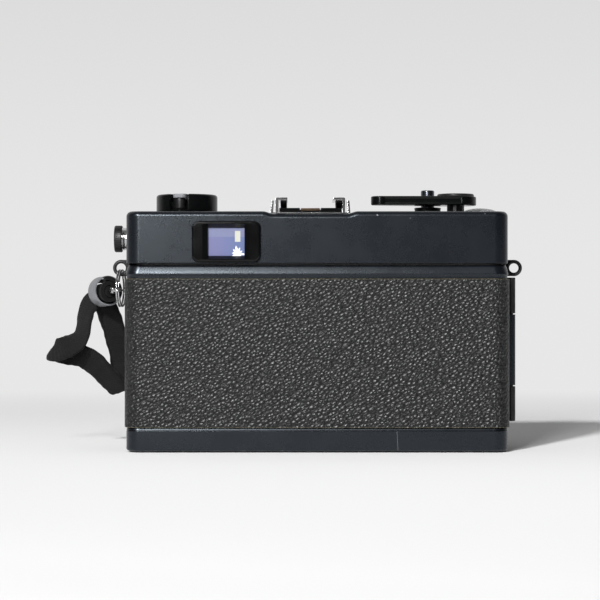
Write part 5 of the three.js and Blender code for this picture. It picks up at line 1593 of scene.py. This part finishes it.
def makeWindows():
    low, high = boxOf("window_panel")
    piece = addBlock("windowPanel", low, high)
    roundUprights(piece, panel["corner"], 5, None, forward)
    roundEdges(piece, panel["rim"], lambda edge: middleOf(edge).y > high.y - 0.01, 3)
    grow = panel["grow"]
    for node in paneNames:
        paneLow, paneHigh = boxOf(node)
        cutBlock(piece, (paneLow.x - grow, low.y - 1, paneLow.z - grow),
                 (paneHigh.x + grow, high.y + 1, paneHigh.z + grow))
    soften(piece, 0.12, 2, 40)
    finishPiece(piece, "window_panel", angle=35)
    for node, name in paneNames.items():
        paneLow, paneHigh = boxOf(node)
        pane = addBlock(name, paneLow, paneHigh)
        if node == "frame_line_window":
            # ribbed inside, so that it spreads the light
            width = (paneHigh.x - paneLow.x) / panel["ribs"]
            scoreAcross(pane, [(paneLow.x + width * step, 0, 0)
                               for step in range(1, panel["ribs"])], rightward)
            pick(pane, "VERT", lambda corner: corner.co.y / mm > paneHigh.y - 0.01
                 and round((corner.co.x / mm - paneLow.x) / width) % 2 == 1)
            bpy.ops.transform.translate(value=metres((0, -panel["ribDeep"], 0)))
            letGo()
        else:
            soften(pane, 0.12, 2)
        finishPiece(pane, node, angle=20)


timer = {"hub": 4.4, "reach": 13, "tip": 2.2, "low": 16.3, "high": 18.3}


def makeTimer():
    x, z = timerAxis
    outline = arc((0, 0), timer["hub"], -45, 225, 40)
    outline += arc((0, timer["tip"] - timer["reach"]), timer["tip"], 180, 360, 16)
    piece = addPlate("timerLever", [(x + far, timer["low"], z + up) for far, up in outline],
                     (0, timer["high"] - timer["low"], 0))
    roundEdges(piece, 0.45, lambda edge: middleOf(edge).y > timer["high"] - 0.01, 4)
    pick(piece, "FACE", lambda face: face.normal.y > 0.99
         and face.calc_area() > 20 * mm * mm)
    bpy.ops.mesh.inset(thickness=0.5 * mm, depth=-0.25 * mm)
    letGo()
    axle = addTurned("axle", (x, 0, z), forward,
                     [(0, 14.5), (1.5, 14.5), (1.5, 16.5), (0, 16.5)], 32)
    cap = addTurned("cap", (x, 0, z), forward,
                    [(0, 17.9), (2.6, 17.9), (2.6, 18.15), (2.4, 18.3), (0, 18.3)], 48)
    cutBlock(cap, (x - 3, 18.0, z - 0.3), (x + 3, 19, z + 0.3))
    coat(finishes["black_steel"], piece, axle)
    coat(finishes["chrome"], cap)
    attach(piece, axle, cap)
    finishPiece(piece, "self_timer_lever", angle=35)


def makeBase():
    # tripod socket, battery cap and rewind release in the bottom cover
    grooves = []
    for step in range(basePlate["threads"]):
        z = 0.6 + step * basePlate["pitch"]
        grooves += [(3.0, z), (3.3, z + basePlate["pitch"] / 2)]
    socketBore = addRing("tripodSocket", (*basePlate["tripod"], 0), upward,
                         [(5, 0.15), (5, 1.3), (6.5, 1.3), (6.5, 2.5), (5, 2.5), (5, 6),
                          (3, 6), *grooves[::-1], (3.0, 0.3), (3.3, 0.0), (4.8, 0.0)], 96)
    finishPiece(socketBore, "tripod_socket", angle=35)
    x, y = basePlate["battery"]
    cap = addTurned("batteryCap", (x, y, 0), upward,
                    [(0, 1.7), (7, 1.7), (7, 0.5), (6.8, 0.3), (5.9, 0.3), (5.7, 0.45),
                     (5.5, 0.45), (5.3, 0.3), (0, 0.3)], 96)
    cutBlock(cap, (x - 5, y - 0.6, -1), (x + 5, y + 0.6, 1.0))
    soften(cap, 0.1, 2, 35)
    finishPiece(cap, "battery_cap", angle=35)
    release = addTurned("rewindRelease", (*basePlate["release"], 0), upward,
                        [(0, 1.9), (2.8, 1.9), (2.8, 1.3), (2, 1.3), (2, 0.5), (1.8, 0.3),
                         (0.9, 0.35), (0, 0.45)], 64)
    finishPiece(release, "rewind_release", angle=35)


makeLens()
makeWindows()
makeTimer()
makeBase()
print("lens and fittings made")


# Table, backdrop and light
studio = {
    # the paper's tone, and the two steps of painted shade in which it darkens toward the key lamp,
    # where the lamps light it more strongly
    "table": 0.97, "tableNearShaded": 0.70, "tableEndShaded": 0.655, "nearFade": (-310, -15),
    "endFade": (-250, -310), "tableSize": 9.0, "haze": 0.80, "room": 0.17,
    # each lamp's place, the point it faces, its width and height, and its power in watts
    "lamps": {
        "keySoftbox": ((-1172, -2727, 1640), (0, 0, 30), 250, 250, 117.0),
        "sheenSoftbox": ((-170, -645, 170), (-10, 0, 50), 90, 90, 0.82),
        "edgeSoftbox": ((-110, -590, 320), (-10, -15, 60), 80, 80, 1.2),
        "topSoftbox": ((-150, 60, 900), (0, 0, 40), 1400, 1100, 0.6),
    },
}


def makeTable():
    takeHold(None)
    bpy.ops.mesh.primitive_plane_add(size=studio["tableSize"], location=(0, 0, -0.0004))
    table = bpy.context.object
    table.name = "studioTable"
    look = Finish("tablePaper")
    x, y = look.axes()[:2]
    cloud = look.noise(400, 2, 0.5)
    away = look.maths("SQRT", x * x + y * y)
    lampward = y * 0.92 + x * 0.39
    # painted shade: the paper is coloured darker nearer the lamps, which evens out their stronger
    # light there
    paper = look.blend(look.step(lampward, *studio["nearFade"]), grey(studio["tableNearShaded"]),
                       grey(studio["table"]))
    paper = look.blend(look.step(lampward, *studio["endFade"]), paper, grey(studio["tableEndShaded"]))
    diffuse = look.node("ShaderNodeBsdfDiffuse", None,
                        {"Color": look.blend(cloud * 0.05, paper, grey(0.8))})
    direct, mirrored = look.rays()
    # reflections see the pale paper end on the viewer's side, where the room is dark
    room = look.step(y, -260, -700) * mirrored
    tone = look.blend(room, grey(studio["haze"]), grey(0.05))
    backdrop = look.node("ShaderNodeEmission", None, {"Color": tone, "Strength": 1.0})
    seen = look.either(direct, mirrored)
    far = look.either(look.step(y, 120, 420), look.step(away, 420, 900))
    far = look.either(far, room)
    look.out(look.node("ShaderNodeMixShader", None,
                       {0: far * seen, 1: diffuse, 2: backdrop}))
    table.data.materials.append(look.home)


def makeRoom():
    # pale all round to the eye, dimmer as a light
    world = bpy.context.scene.world or bpy.data.worlds.new("studioRoom")
    bpy.context.scene.world = world
    look = Finish("room", world)
    front, up = look.split(look.node("ShaderNodeTexCoord", result="Generated"))[1:]
    sky = look.blend(look.step(up, 0.0, 0.22), grey(studio["haze"]), grey(0.69))
    direct, mirrored = look.rays()
    # reflections see the pale backdrop beyond the lens, and a dark room behind the viewer
    hall = look.blend(look.step(front, -0.05, 0.6), grey(0.04), grey(0.70))
    ambient = look.blend(mirrored, grey(studio["room"]), hall)
    colour = look.blend(direct, ambient, sky)
    shade = look.node("ShaderNodeBackground", None, {"Color": colour, "Strength": 1.0})
    look.node("ShaderNodeOutputWorld", None, {0: shade})


def addLamp(name, place, aim, width, height, power):
    bpy.ops.object.light_add(type="AREA", location=metres(place))
    lamp = bpy.context.object
    lamp.name = name
    lamp.data.shape = "RECTANGLE"
    lamp.data.size = width * mm
    lamp.data.size_y = height * mm
    lamp.data.energy = power
    lamp.rotation_euler = (metres(aim) - metres(place)).to_track_quat("-Z", "Y").to_euler()


makeTable()
makeRoom()
for lampName, lampFacts in studio["lamps"].items():
    addLamp(lampName, *lampFacts)
bpy.context.scene.view_settings.view_transform = "Standard"
print("stage set")
